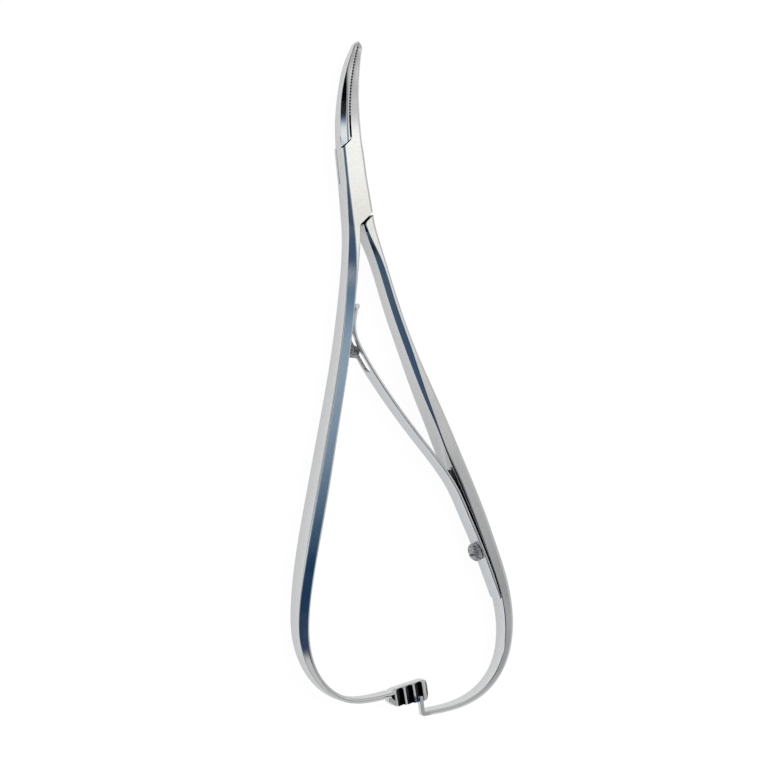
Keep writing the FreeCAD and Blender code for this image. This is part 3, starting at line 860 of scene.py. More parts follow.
@dataclass(frozen=True)
class RatchetPlate:
    """The toothed plate at the end of the left arm."""

    left: float = -5.9
    right: float = 3.3
    strip_middle: float = -105.9
    strip_half_width: float = 2.0
    rise: float = 1.55
    height: float = 4.45
    slant: float = 1.3
    back: float = -1.5
    front: float = 0.6
    corner: float = 1.7
    notch_count: int = 3
    notch_pitch: float = 2.15
    notch_depth: float = 1.0
    notch_corner: float = 0.55
    first_crest: float = -4.5
    crest_land: float = 0.45
    top_margin: float = 0.35
    crest_lean: float = 2.5
    ramp_depth: float = 1.2
    run_in_length: float = 3.2
    run_in_height: float = 1.6
    run_in_edge: float = 0.25
    rim: float = 0.13
    top_slope: float = 0.115
    level_place: float = 0.8
    left_rise: float = 0.45
    left_round: float = 0.05
    crest_round: float = 0.4
    tail: float = -6.4
    tail_end: float = -4.15
    tail_rise: float = 0.4
    tail_drop: float = 0.15
    tail_margin: float = 0.1
    steps: int = 6

    @property
    def top(self) -> float:
        """Height of the plate's upper edge."""
        return self.strip_middle + self.rise

    def edge(self, x: float) -> float:
        """Height of the plate's upper edge, which runs on from the strip, at a place."""
        return self.top - self.top_slope * (self.level_place - x)

    def body(self) -> Blank:
        """The plate before it is notched.

        Returns:
            A closed blank.
        """
        low, corner = self.top - self.height, self.corner
        outline = filleted([
            (self.left, self.strip_middle + self.left_rise, self.left_round),
            (self.first_crest, self.edge(self.first_crest), self.crest_round),
            (self.right, self.edge(self.right), corner), (self.right, low, corner),
            (self.first_crest, low, corner), (self.left, low + self.slant, self.left_round),
        ], self.steps)
        return slab(outline, self.back, self.front, self.rim)

    def run_out(self) -> Blank:
        """The end of the strip, which falls to the plate's face along its upper edge.

        Returns:
            A closed blank.
        """
        low, high = self.strip_middle - self.tail_drop, self.strip_half_width
        tail = Blank()
        verts = tail.prism([(self.tail, low), (self.tail_end, low),
                            (self.tail_end, self.edge(self.tail_end) - self.tail_margin),
                            (self.tail, self.strip_middle + self.tail_rise)], 0.0, high)
        for vert in verts:
            if vert.co.z > high / 2 and vert.co.x > (self.tail + self.tail_end) / 2:
                vert.co.z = self.front
        return tail

    def groove(self, profile: Sequence[tuple[float, float]], top: float,
               round_off: float) -> Blank:
        """A cut of a given profile that runs off the plate's lower edge.

        Args:
            profile: Corners in order, as (x, z).
            top: Height where the groove ends.
            round_off: Rounding of the groove's upper end.

        Returns:
            A closed cutter.
        """
        cutter = Blank()
        length = top - (self.top - 2 * self.height)
        verts = cutter.prism(profile, 0.0, length)
        metal = cutter.metal
        if round_off > 0.0:
            deep = self.front - self.notch_depth
            low_edges = [edge for edge in metal.edges
                         if all(vert.co.z < FLAT_EDGE for vert in edge.verts)]
            ends = [edge for edge in low_edges
                    if any(abs(vert.co.y - deep) < FLAT_EDGE for vert in edge.verts)
                    or all(abs(vert.co.x - profile[0][0]) < FLAT_EDGE for vert in edge.verts)]
            bmesh.ops.bevel(metal, geom=ends, offset=round_off, segments=4, profile=0.5,
                            affect="EDGES", material=-1)
            verts = list(metal.verts)
        stand = Matrix(((1, 0, 0, 0), (0, 0, -1, top), (0, 1, 0, 0), (0, 0, 0, 1)))
        centre = Matrix.Translation((profile[0][0], self.top - self.height / 2, 0.0))
        lean = centre @ Matrix.Rotation(math.radians(self.crest_lean), 4, "Z") @ centre.inverted()
        bmesh.ops.transform(metal, matrix=lean @ stand, verts=verts)
        bmesh.ops.recalc_face_normals(metal, faces=metal.faces)
        return cutter

    def cutters(self) -> list[Blank]:
        """The notches, the run-on ramp and the sloping pocket before the first crest.

        Returns:
            Closed cutters.
        """
        over, cuts = self.notch_depth, []
        for index in range(self.notch_count):
            crest = self.first_crest + index * self.notch_pitch
            wall, land = crest + self.notch_pitch, crest + self.crest_land
            profile = [(land, self.front + over), (land, self.front),
                       (wall, self.front - self.notch_depth), (wall, self.front + over)]
            groove = self.groove(profile, self.edge(wall) - self.top_margin, self.notch_corner)
            # The notches and the pocket are marked for near-black painted shade.
            cuts.append(groove.marked())
        last = self.first_crest + self.notch_count * self.notch_pitch + self.crest_land
        far = self.right + over
        ramp = [(last, self.front + over), (last, self.front), (far, self.front - self.ramp_depth),
                (far, self.front + over)]
        cuts.append(self.groove(ramp, self.top + self.height, 0.0))
        return cuts + [self.pocket().marked()]

    def pocket(self) -> Blank:
        """The pocket that slopes from the strip's face to the foot of the first crest.

        Returns:
            A closed cutter.
        """
        start, wall = self.first_crest - self.run_in_length, self.first_crest
        middle, high = self.strip_middle, self.strip_half_width
        pocket = Blank()
        verts = pocket.prism([(start, middle), (wall, middle), (wall, middle - self.run_in_height),
                              (self.left, middle - self.run_in_edge)], high, 2 * high)
        fall = self.front - self.notch_depth - high
        for vert in verts:
            if vert.co.z < 1.5 * high:
                vert.co.z = high + FLAT_EDGE + fall * (vert.co.x - start) / (wall - start)
        return pocket


@dataclass(frozen=True)
class Pawl:
    """The upright at the end of the right arm that stands in front of the notches."""

    plate: RatchetPlate
    clearance: float = 0.08
    thickness: float = 0.85
    width: float = 1.3
    middle: float = 0.85
    tip: float = -107.35
    heel_radius: float = 0.8
    tip_radius: float = 0.35
    rim: float = 0.1
    tail_length: float = 0.4
    steps: int = 5

    def body(self) -> Blank:
        """The pawl with its heel.

        Returns:
            A closed blank.
        """
        foot_x, foot_y, foot = RIGHT_ROWS[-1][:3]
        left, right = self.middle - self.thickness / 2, self.middle + self.thickness / 2
        low, high, tail = foot_y - foot / 2, foot_y + foot / 2, foot_x + self.tail_length
        outline = filleted([
            (left, low, self.heel_radius), (tail, low, 0.0), (tail, high, 0.0),
            (right, high, self.tip_radius), (right, self.tip, self.tip_radius),
            (left, self.tip, self.tip_radius),
        ], self.steps)
        back = self.plate.front + self.clearance
        return slab(outline, back, back + self.width, self.rim)


class NodeBench:
    """Places and joins shader nodes in one tree."""

    def __init__(self, tree: bpy.types.NodeTree) -> None:
        """Work on a tree.

        Args:
            tree: The node tree, which is filled from left to right.
        """
        self.tree, self.column = tree, 0

    def node(self, kind: str, **settings: object) -> bpy.types.Node:
        """Add a node.

        Args:
            kind: Type name of the node.
            settings: Properties to set on it.

        Returns:
            The new node.
        """
        made = self.tree.nodes.new(kind)
        made.location = (self.column * 190.0, 0.0)
        self.column += 1
        for name, value in settings.items():
            setattr(made, name, value)
        return made

    def join(self, source: bpy.types.NodeSocket, target: bpy.types.NodeSocket) -> None:
        """Link one socket to another."""
        self.tree.links.new(source, target)

    def maths(self, operation: str, first: object, second: object = 0.0) -> bpy.types.NodeSocket:
        """Add a Math node.

        Args:
            operation: The operation's name.
            first: A socket or a number.
            second: A socket or a number.

        Returns:
            The result's socket.
        """
        made = self.node("ShaderNodeMath", operation=operation)
        for value, socket in zip((first, second), made.inputs):
            if isinstance(value, bpy.types.NodeSocket):
                self.join(value, socket)
            else:
                socket.default_value = value
        return made.outputs[0]

    def ramped(self, value: bpy.types.NodeSocket, low: float,
               high: float) -> bpy.types.NodeSocket:
        """Map a value smoothly from 0 at one place to 1 at another.

        Args:
            value: The value's socket.
            low: Where the rise starts.
            high: Where it ends.

        Returns:
            The result's socket.
        """
        made = self.node("ShaderNodeMapRange", interpolation_type="SMOOTHSTEP")
        self.join(value, made.inputs["Value"])
        made.inputs["From Min"].default_value = low
        made.inputs["From Max"].default_value = high
        return made.outputs["Result"]

    def ramp(self, value: bpy.types.NodeSocket, stops: Sequence[tuple]) -> bpy.types.NodeSocket:
        """Read a colour from a row of stops.

        Args:
            value: The value's socket, from -0.5 to 0.5.
            stops: (value, colour) pairs in rising order.

        Returns:
            The colour's socket.
        """
        made = self.node("ShaderNodeValToRGB")
        self.join(self.maths("ADD", value, 0.5), made.inputs[0])
        elements = made.color_ramp.elements
        while len(elements) < len(stops):
            elements.new(1.0)
        for element, (place, colour) in zip(elements, stops):
            element.position, element.color = place + 0.5, (*colour, 1.0)
        return made.outputs[0]

    def mixed(self, share: object, first: object, second: object) -> bpy.types.NodeSocket:
        """Mix two colours.

        Args:
            share: Socket or number, 0 for the first colour and 1 for the second.
            first: A socket or a colour.
            second: A socket or a colour.

        Returns:
            The mixed colour's socket.
        """
        made = self.node("ShaderNodeMix", data_type="RGBA")
        for value, index in ((share, 0), (first, 6), (second, 7)):
            if isinstance(value, bpy.types.NodeSocket):
                self.join(value, made.inputs[index])
            elif index:
                made.inputs[index].default_value = (*value, 1.0)
            else:
                made.inputs[index].default_value = value
        return made.outputs[2]


class Effect(Enum):
    """Surface effects that the finishes share, each a shader node group."""

    SPECKLE = "fine_speckle"
    SMEAR = "polish_smear"
    GRIND = "grinding_lines"


class EffectGroups:
    """Builds each shared effect once and places it in materials."""

    def __init__(self) -> None:
        """Build the groups."""
        self.groups = {
            Effect.SPECKLE: self.speckle(),
            Effect.SMEAR: self.smear(),
            Effect.GRIND: self.grind(),
        }

    @staticmethod
    def group(effect: Effect, inputs: dict[str, str], outputs: dict[str, str]) -> NodeBench:
        """Start a group with named sockets.

        Args:
            effect: The effect that it makes.
            inputs: Socket names and types.
            outputs: Socket names and types.

        Returns:
            A bench on the group's tree.
        """
        tree = bpy.data.node_groups.new(effect.value, "ShaderNodeTree")
        for way, sockets in (("INPUT", inputs), ("OUTPUT", outputs)):
            for name, kind in sockets.items():
                tree.interface.new_socket(name=name, in_out=way, socket_type="NodeSocket" + kind)
        return NodeBench(tree)

    def speckle(self) -> bpy.types.NodeTree:
        """Fine warm speckle in polished metal.

        Returns:
            The group's tree.
        """
        bench = self.group(Effect.SPECKLE,
                           {"Vector": "Vector", "Scale": "Float", "Light": "Color",
                            "Dark": "Color", "Amount": "Float"}, {"Colour": "Color"})
        given, out = bench.node("NodeGroupInput"), bench.node("NodeGroupOutput")
        grain = bench.node("ShaderNodeTexNoise")
        grain.inputs["Detail"].default_value = 2.0
        grain.inputs["Roughness"].default_value = 0.6
        bench.join(given.outputs["Vector"], grain.inputs["Vector"])
        bench.join(given.outputs["Scale"], grain.inputs["Scale"])
        mask = bench.ramped(grain.outputs[0], 0.45, 0.66)
        share = bench.maths("MULTIPLY", mask, given.outputs["Amount"])
        bench.join(bench.mixed(share, given.outputs["Light"], given.outputs["Dark"]),
                   out.inputs["Colour"])
        return bench.tree

    def smear(self) -> bpy.types.NodeTree:
        """Broad differences in polish from the buffing wheel and from handling.

        Returns:
            The group's tree.
        """
        bench = self.group(Effect.SMEAR,
                           {"Vector": "Vector", "Scale": "Float", "Bright": "Float",
                            "Dull": "Float"}, {"Roughness": "Float"})
        given, out = bench.node("NodeGroupInput"), bench.node("NodeGroupOutput")
        cloud = bench.node("ShaderNodeTexNoise")
        cloud.inputs["Detail"].default_value = 4.0
        bench.join(given.outputs["Vector"], cloud.inputs["Vector"])
        bench.join(given.outputs["Scale"], cloud.inputs["Scale"])
        share = bench.ramped(cloud.outputs[0], 0.35, 0.7)
        span = bench.maths("SUBTRACT", given.outputs["Dull"], given.outputs["Bright"])
        rise = bench.maths("MULTIPLY", share, span)
        bench.join(bench.maths("ADD", given.outputs["Bright"], rise), out.inputs["Roughness"])
        return bench.tree

    def grind(self) -> bpy.types.NodeTree:
        """Fine lines left by the grinding belt, along the Y of its vector.

        Returns:
            The group's tree.
        """
        bench = self.group(Effect.GRIND,
                           {"Vector": "Vector", "Scale": "Float", "Length": "Float"},
                           {"Height": "Float"})
        given, out = bench.node("NodeGroupInput"), bench.node("NodeGroupOutput")
        parts, whole = bench.node("ShaderNodeSeparateXYZ"), bench.node("ShaderNodeCombineXYZ")
        bench.join(given.outputs["Vector"], parts.inputs[0])
        bench.join(parts.outputs["X"], whole.inputs["X"])
        bench.join(bench.maths("DIVIDE", parts.outputs["Y"], given.outputs["Length"]),
                   whole.inputs["Y"])
        bench.join(parts.outputs["Z"], whole.inputs["Z"])
        lines = bench.node("ShaderNodeTexNoise")
        lines.inputs["Detail"].default_value = 3.0
        bench.join(whole.outputs[0], lines.inputs["Vector"])
        bench.join(given.outputs["Scale"], lines.inputs["Scale"])
        bench.join(lines.outputs[0], out.inputs["Height"])
        return bench.tree

    def place(self, bench: NodeBench, effect: Effect, vector: bpy.types.NodeSocket,
              **values: object) -> bpy.types.Node:
        """Place an effect in a material.

        Args:
            bench: Bench on the material's tree.
            effect: The effect.
            vector: Coordinates for it.
            values: Input values by name, with colours as three numbers.

        Returns:
            The group node.
        """
        made = bench.node("ShaderNodeGroup", node_tree=self.groups[effect])
        bench.join(vector, made.inputs["Vector"])
        for name, value in values.items():
            made.inputs[name].default_value = (*value, 1.0) if isinstance(value, tuple) else value
        return made


@dataclass(frozen=True)
class SteelFinish:
    """A finish of bare stainless steel."""

    name: str
    light: tuple[float, float, float]
    dark: tuple[float, float, float]
    amount: float
    speckle_scale: float
    bright: float
    dull: float
    grind_scale: float
    grind_length: float
    grind_depth: float
    turn: tuple[float, float, float] = (0.0, 0.0, 0.0)
    smear_scale: float = 120.0
    bump_distance: float = 0.00002

    def material(self, effects: EffectGroups) -> bpy.types.Material:
        """Build the finish's material.

        Args:
            effects: The shared effect groups.

        Returns:
            The material.
        """
        made = bpy.data.materials.new(self.name)
        made.use_nodes = True
        made.node_tree.nodes.clear()
        bench = NodeBench(made.node_tree)
        place, mapping = bench.node("ShaderNodeTexCoord"), bench.node("ShaderNodeMapping")
        mapping.inputs["Rotation"].default_value = tuple(math.radians(a) for a in self.turn)
        bench.join(place.outputs["Object"], mapping.inputs["Vector"])
        vector = mapping.outputs["Vector"]
        speckle = effects.place(bench, Effect.SPECKLE, vector, Scale=self.speckle_scale,
                                Light=self.light, Dark=self.dark, Amount=self.amount)
        smear = effects.place(bench, Effect.SMEAR, vector, Scale=self.smear_scale,
                              Bright=self.bright, Dull=self.dull)
        grind = effects.place(bench, Effect.GRIND, vector, Scale=self.grind_scale,
                              Length=self.grind_length)
        bump = bench.node("ShaderNodeBump")
        bump.inputs["Strength"].default_value = self.grind_depth
        bump.inputs["Distance"].default_value = self.bump_distance
        bench.join(grind.outputs["Height"], bump.inputs["Height"])
        steel = bench.node("ShaderNodeBsdfPrincipled")
        steel.inputs["Metallic"].default_value = 1.0
        bench.join(speckle.outputs["Colour"], steel.inputs["Base Color"])
        bench.join(smear.outputs["Roughness"], steel.inputs["Roughness"])
        bench.join(bump.outputs["Normal"], steel.inputs["Normal"])
        bench.join(steel.outputs[0], bench.node("ShaderNodeOutputMaterial").inputs["Surface"])
        return made


POLISHED = SteelFinish("polished_steel", (0.97, 0.965, 0.955), (0.74, 0.715, 0.66), 0.45, 4200.0,
                       0.06, 0.12, 3000.0, 8.0, 0.12)
SPRING = SteelFinish("spring_steel", (0.95, 0.955, 0.96), (0.78, 0.79, 0.80), 0.35, 3600.0,
                     0.12, 0.2, 3600.0, 14.0, 0.3, (0.0, 0.0, -35.0))
TURNED = SteelFinish("turned_steel", (0.55, 0.55, 0.55), (0.10, 0.10, 0.11), 0.85, 2400.0,
                     0.3, 0.45, 5200.0, 1.0, 0.6)
# Rough steel that isn't polished, with a near-black colour that is painted shade in teeth,
# grooves, lock gaps, head bevel and leaf seat.
UNPOLISHED_PAINTED_SHADE = SteelFinish("unpolished_painted_shade_steel", (0.04, 0.043, 0.05), (0.01, 0.011, 0.014), 0.7,
                         3800.0, 0.3, 0.5, 4200.0, 3.0, 0.6)


@dataclass
class Dresser:
    """Gives pieces their material and their body."""

    effects: EffectGroups = field(default_factory=EffectGroups)
    materials: dict[str, bpy.types.Material] = field(default_factory=dict)

    def dress(self, piece: bpy.types.Object, finish: SteelFinish,
              cuts: SteelFinish = UNPOLISHED_PAINTED_SHADE) -> None:
        """Give a piece its finish.

        Args:
            piece: The piece's object.
            finish: Its finish.
            cuts: Finish of its marked faces, by default the near-black painted shade.
        """
        has_marked_faces = any(face.material_index for face in piece.data.polygons)
        for index, used in enumerate((finish, cuts) if has_marked_faces else (finish,)):
            if used.name not in self.materials:
                self.materials[used.name] = used.material(self.effects)
            piece.data.materials[index] = self.materials[used.name]
        if not has_marked_faces:
            piece.data.materials.pop(index=1)

    def hang(self, piece: bpy.types.Object, finish: SteelFinish, body: str, node: str) -> None:
        """Dress a piece that stands for a node of the model and rides on a body.

        Args:
            piece: The piece's object.
            finish: Its finish.
            body: The body it moves with.
            node: The node it stands for.
        """
        self.dress(piece, finish)
        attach(piece, body)
        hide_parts(node)
        LOG.info("%s rides on %s", piece.name, body)


@dataclass
class BoxHalf:
    """Right jaw, slotted box, left arm and ratchet plate, forged as one."""

    lock: BoxLock
    jaws: Jaws
    arm: ArmRun
    plate: RatchetPlate
    jaw_root: float = 2.6
    step: float = 0.02
    last_jaw_angle: float = 0.2
    jaw_steps: int = 5
    box_margin: float = 0.1
    box_steps: int = 22
    cut_edge: float = -0.4

    def box_sections(self) -> list[Section]:
        """Sections of the box, from under the right jaw down to the left arm.

        Returns:
            The sections in order.
        """
        lock, jaws = self.lock, self.jaws
        side = lock.parting_offset - lock.half_width(jaws.arc_start)
        sections = [replace(jaws.section(float(angle)), left=side,
                            left_bevel=lock.small_bevel)
                    for angle in np.linspace(self.jaw_root - self.step, self.last_jaw_angle,
                                             self.jaw_steps)]
        foot = self.step - lock.length_below
        for y in np.linspace(jaws.arc_start - self.box_margin, foot, self.box_steps):
            wide = lock.half_width(float(y))
            bevel = float(np.interp(y, [-lock.length_below, 0.0],
                                    [lock.foot_bevel, lock.edge_bevel]))
            sections.append(Section(Vector((0.0, float(y), 0.0)), Vector((1.0, 0.0, 0.0)), -wide,
                                    wide, lock.thickness / 2, (bevel, bevel * lock.bevel_rise),
                                    lock.small_bevel))
        return sections

    def build(self) -> bpy.types.Object:
        """Forge, cut and finish the half.

        Returns:
            The finished piece.
        """
        sections = self.jaws.sections(Side.RIGHT, self.jaw_root) + self.box_sections()
        sections += self.arm.sections(self.arm.root_knot + self.step)
        body = Blank().sweep([section.ring() for section in sections])
        # Marked cuts get near-black painted shade: the lower step, the relief and the teeth.
        body.cut(*(part.marked() for part in (
            self.lock.lower_step(self.cut_edge), self.jaws.relief(), self.jaws.teeth())))
        body.cut(self.lock.upper_step(), self.lock.slot())
        body.added(self.plate.body())
        body.cut(*self.plate.cutters()).added(self.plate.run_out())
        return body.finished("box_half_forging")


@dataclass
class TongueHalf:
    """Left jaw, tongue, right arm and pawl, forged as one."""

    lock: BoxLock
    jaws: Jaws
    arm: ArmRun
    pawl: Pawl
    head_top: float = -5.2
    head_foot_rise: float = 0.3
    head_width: float = 2.5
    head_bevel: Bevel = (0.5, 0.4)
    head_steps: int = 6
    # Painted shade goes on the head's inner bevel over the first height, and on the inner wall
    # between the seat heights.
    painted_shade_head_end: float = -11.0
    painted_shade_seat: tuple[float, float] = (-89.0, -62.0)

    def head_sections(self) -> list[Section]:
        """Sections of the arm's head beside the box.

        Returns:
            The sections in order, from the top down.
        """
        lock = self.lock
        inner = lock.foot_half_width - self.head_width
        foot, sections = self.head_foot_rise - lock.length_below, []
        for y in np.linspace(self.head_top, foot, self.head_steps):
            wide = lock.half_width(float(y))
            sections.append(Section(Vector((0.0, float(y), 0.0)), Vector((1.0, 0.0, 0.0)), inner,
                                    wide, lock.thickness / 2, self.head_bevel,
                                    lock.small_bevel))
        return sections

    def is_painted_shade(self, face: bmesh.types.BMFace) -> bool:
        """Whether a face of the arm gets painted shade: at its head and behind the leaf.

        Args:
            face: The face.

        Returns:
            True if it is.
        """
        height, (low, high) = face.calc_center_median().y, self.painted_shade_seat
        # Painted shade: the head's inner bevel beside the box, and the inner wall behind the leaf.
        head = height > self.painted_shade_head_end and face.normal.x < -0.3 and face.normal.z > 0.2
        return head or (low < height < high and face.normal.x < -0.68)

    def build(self) -> bpy.types.Object:
        """Forge, cut and finish the half.

        Returns:
            The finished piece.
        """
        jaw = Blank().sweep([part.ring() for part in self.jaws.sections(Side.LEFT, 0.0)])
        # Marked faces get near-black painted shade: jaw cuts, head bevel, leaf seat, shoulder gap
        # and the tongue's flat faces.
        jaw.cut(*(part.marked() for part in (
            self.lock.under_jaw(), self.jaws.relief(), self.jaws.teeth())))
        sections = self.head_sections() + self.arm.sections(self.arm.root_knot)
        arm = Blank().sweep([part.ring() for part in sections])
        arm.marked(self.is_painted_shade)
        arm.cut(self.lock.over_line(self.lock.arm_gap).marked())
        tongue = self.lock.tongue().marked(lambda face: abs(face.normal.z) > 0.9)
        arm.added(self.pawl.body(), tongue, jaw)
        return arm.finished("tongue_half_forging")


@dataclass
class PivotPin:
    """The rivet of the box lock, ground flush with the cheeks."""

    lock: BoxLock
    proud: float = 0.0015

    def build(self) -> bpy.types.Object:
        """Turn the pin.

        Returns:
            The finished piece.
        """
        half = self.lock.thickness / 2 + self.proud
        return round_bar(self.lock.pin_diameter / 2, -half, half).finished("rivet_pin")


@dataclass
class LeafSpring:
    """The slotted leaf between the arms, with its rolled tip."""

    left: ArmRun
    right: ArmRun
    thickness: float = 0.65
    width: float = 4.8
    gap: float = 0.06
    seat: tuple[tuple[float, float], ...] = (
        (-90.2, 0.06), (-85.4, 0.06), (-79.3, 0.06), (-75.5, 0.1), (-70.5, 0.2), (-66.0, 0.3))
    bow: tuple[tuple[float, float], ...] = (
        (8.7, -56.0), (1.15, -43.6), (-3.35, -34.4), (-4.35, -30.9))
    touch: float = -28.2
    roll_height: float = -25.1
    roll_radius: float = 0.55
    slot_width: float = 3.0
    slot_top: float = -30.6
    slot_bottom: float = -39.3
    hole_radius: float = 1.0
    hole_depth: float = 1.3
    edge: float = 0.1
    edge_rise: Bevel = (0.02, 0.02)
    edge_softness: float = 0.05
    edge_steps: int = 2
    small_step: float = 0.01
    round_steps: int = 40
    end_share: float = 0.45
    end_length: float = 5.0
    stations: int = 140

    def path(self) -> list[Vector]:
        """Points of the leaf's middle line, from its clamped end to its rolled tip.

        Returns:
            The points in order.
        """
        half = self.thickness / 2
        points = [self.right.inner_face(y, gap + half)[0] for y, gap in self.seat]
        points += [Vector((x, y, 0.0)) for x, y in self.bow]
        points.append(self.left.inner_face(self.touch, self.gap + half)[0])
        points.append(self.left.inner_face(self.roll_height, self.gap + self.roll_radius)[0])
        return points

    def strip(self, path: Sequence[Vector]) -> Blank:
        """The bent strip before it is slotted.

        Args:
            path: Points of its middle line.

        Returns:
            A closed blank.
        """
        steps = [(b - a).length for a, b in zip(path, path[1:])]
        knots = [0.0] + list(np.cumsum(steps))
        line, half = Spline(knots, [tuple(p) for p in path]), self.thickness / 2
        rings = []
        for knot in np.linspace(0.0, knots[-1], self.stations):
            ahead, behind = line.at(knot + self.small_step), line.at(knot - self.small_step)
            along = Vector(ahead - behind).normalized()
            share = float(np.interp(knot, [0.0, self.end_length], [self.end_share, 1.0]))
            bevel = (self.edge, self.edge)
            rings.append(Section(Vector(line.at(float(knot))), Vector((-along.y, along.x, 0.0)),
                                 -half, half * (2 * share - 1), self.width / 2, bevel, bevel,
                                 self.edge_rise, self.edge_softness, self.edge_steps).ring())
        return Blank().sweep(rings)

    def slot(self) -> Blank:
        """The long round-ended slot for the guide peg.

        Returns:
            A closed cutter that runs across the leaf.
        """
        half, far = self.slot_width / 2, 9.0
        outline = filleted([
            (-half, self.slot_bottom, half), (half, self.slot_bottom, half),
            (half, self.slot_top, half), (-half, self.slot_top, half)], 10)
        cutter = Blank()
        verts = cutter.prism(outline, -far, far)
        lie = Matrix(((0, 0, 1, 0), (0, 1, 0, 0), (-1, 0, 0, 0), (0, 0, 0, 1)))
        bmesh.ops.transform(cutter.metal, matrix=lie, verts=verts)
        bmesh.ops.recalc_face_normals(cutter.metal, faces=cutter.metal.faces)
        return cutter

    def build(self) -> bpy.types.Object:
        """Bend, roll, slot and drill the leaf.

        Returns:
            The finished piece.
        """
        path = self.path()
        half, radius = self.width / 2, self.roll_radius
        roll = Blank().spun([(0.0, 0.0), (radius - self.edge, 0.0), (radius, self.edge),
                             (radius, 2 * half - self.edge), (radius - self.edge, 2 * half),
                             (0.0, 2 * half)], path[-1] - Vector((0.0, 0.0, half)),
                            Vector((0.0, 0.0, 1.0)), self.round_steps)
        seat, inward = self.right.inner_face(SCREW_PLACE)
        hole = Blank().spun([(0.0, 0.0), (self.hole_radius, 0.0),
                             (self.hole_radius, self.hole_depth), (0.0, self.hole_depth)],
                            seat, inward, self.round_steps)
        leaf = self.strip(path).added(roll).cut(self.slot().marked(), hole)
        return leaf.finished("slotted_leaf_spring")


@dataclass
class SpringScrew:
    """The domed slotted screw that clamps the leaf."""

    arm: ArmRun
    under_head: float = 0.77
    head_radius: float = 1.95
    head_height: float = 2.0
    rim_height: float = 1.1
    rim_round: float = 0.16
    shank_radius: float = 0.9
    seat_depth: float = 1.6
    slot_width: float = 0.55
    slot_depth: float = 0.7
    seat_chamfer: float = 0.12
    crown_steps: int = 12
    saw_height: float = 3.0
    saw_reach: float = 4.0

    def build(self) -> bpy.types.Object:
        """Turn the screw and saw its slot.

        Returns:
            The finished piece.
        """
        seat, inward = self.arm.inner_face(SCREW_PLACE, self.under_head)
        rise, reach = self.head_height - self.rim_height, self.head_radius
        dome = (rise * rise + reach * reach) / (2 * rise)
        last = math.asin((reach - self.rim_round) / dome)
        crown = [(dome * math.sin(a), self.head_height - dome * (1 - math.cos(a)))
                 for a in np.linspace(last, 0.0, self.crown_steps)]
        profile = [(0.0, -self.under_head - self.seat_depth),
                   (self.shank_radius, -self.under_head - self.seat_depth),
                   (self.shank_radius, 0.0), (reach - self.seat_chamfer, 0.0),
                   (reach, self.seat_chamfer),
                   (reach, self.rim_height - self.rim_round)] + crown
        screw = Blank().spun(profile, seat, inward)
        along = Vector((-inward.y, inward.x, 0.0))
        deep = seat + inward * (self.head_height - self.slot_depth)
        corners = [deep + along * (s * self.slot_width / 2) + inward * (t * self.saw_height)
                   for s, t in ((-1, 0), (1, 0), (1, 1), (-1, 1))]
        saw = slab([(p.x, p.y) for p in corners], -self.saw_reach, self.saw_reach)
        return screw.cut(saw).finished("domed_spring_screw")


@dataclass
class GuidePeg:
    """The grooved peg in the left arm that keeps the leaf in line."""

    arm: ArmRun
    place: float = -33.9
    radius: float = 1.35
    reach: float = 2.75
    seat_depth: float = 1.3
    chamfer: float = 0.2
    groove_pitch: float = 0.4
    groove_depth: float = 0.14
    groove_start: float = 0.25
    groove_floor: float = 0.06
    steps: int = 48

    def build(self) -> bpy.types.Object:
        """Turn the peg with its grooves.

        Returns:
            The finished piece.
        """
        start, inward = self.arm.inner_face(self.place, -self.seat_depth)
        length = self.seat_depth + self.reach
        profile = [(0.0, 0.0), (self.radius, 0.0)]
        height = self.seat_depth + self.groove_start
        while height + self.groove_pitch < length - self.chamfer:
            middle = height + self.groove_pitch / 2
            deep, half = self.radius - self.groove_depth, self.groove_floor
            profile += [(self.radius, height), (deep, middle - half), (deep, middle + half)]
            height += self.groove_pitch
        profile += [(self.radius, length - self.chamfer), (self.radius - self.chamfer, length),
                    (0.0, length)]
        return Blank().spun(profile, start, inward, self.steps).finished("grooved_guide_peg")


@dataclass(frozen=True)
class Lamp:
    """A soft square lamp."""

    name: str
    place: tuple[float, float, float]
    size: float
    power: float

    def hang(self, target: Vector) -> None:
        """Put the lamp up, aimed at the tool.

        Args:
            target: The point that it shines on.
        """
        light = bpy.data.lights.new(self.name, "AREA")
        light.size, light.energy = self.size, self.power
        lamp = bpy.data.objects.new(self.name, light)
        bpy.context.scene.collection.objects.link(lamp)
        lamp.location = self.place
        aim = (target - Vector(self.place)).to_track_quat("-Z", "Y")
        lamp.rotation_mode = "QUATERNION"
        lamp.rotation_quaternion = aim
        lamp.visible_glossy = False


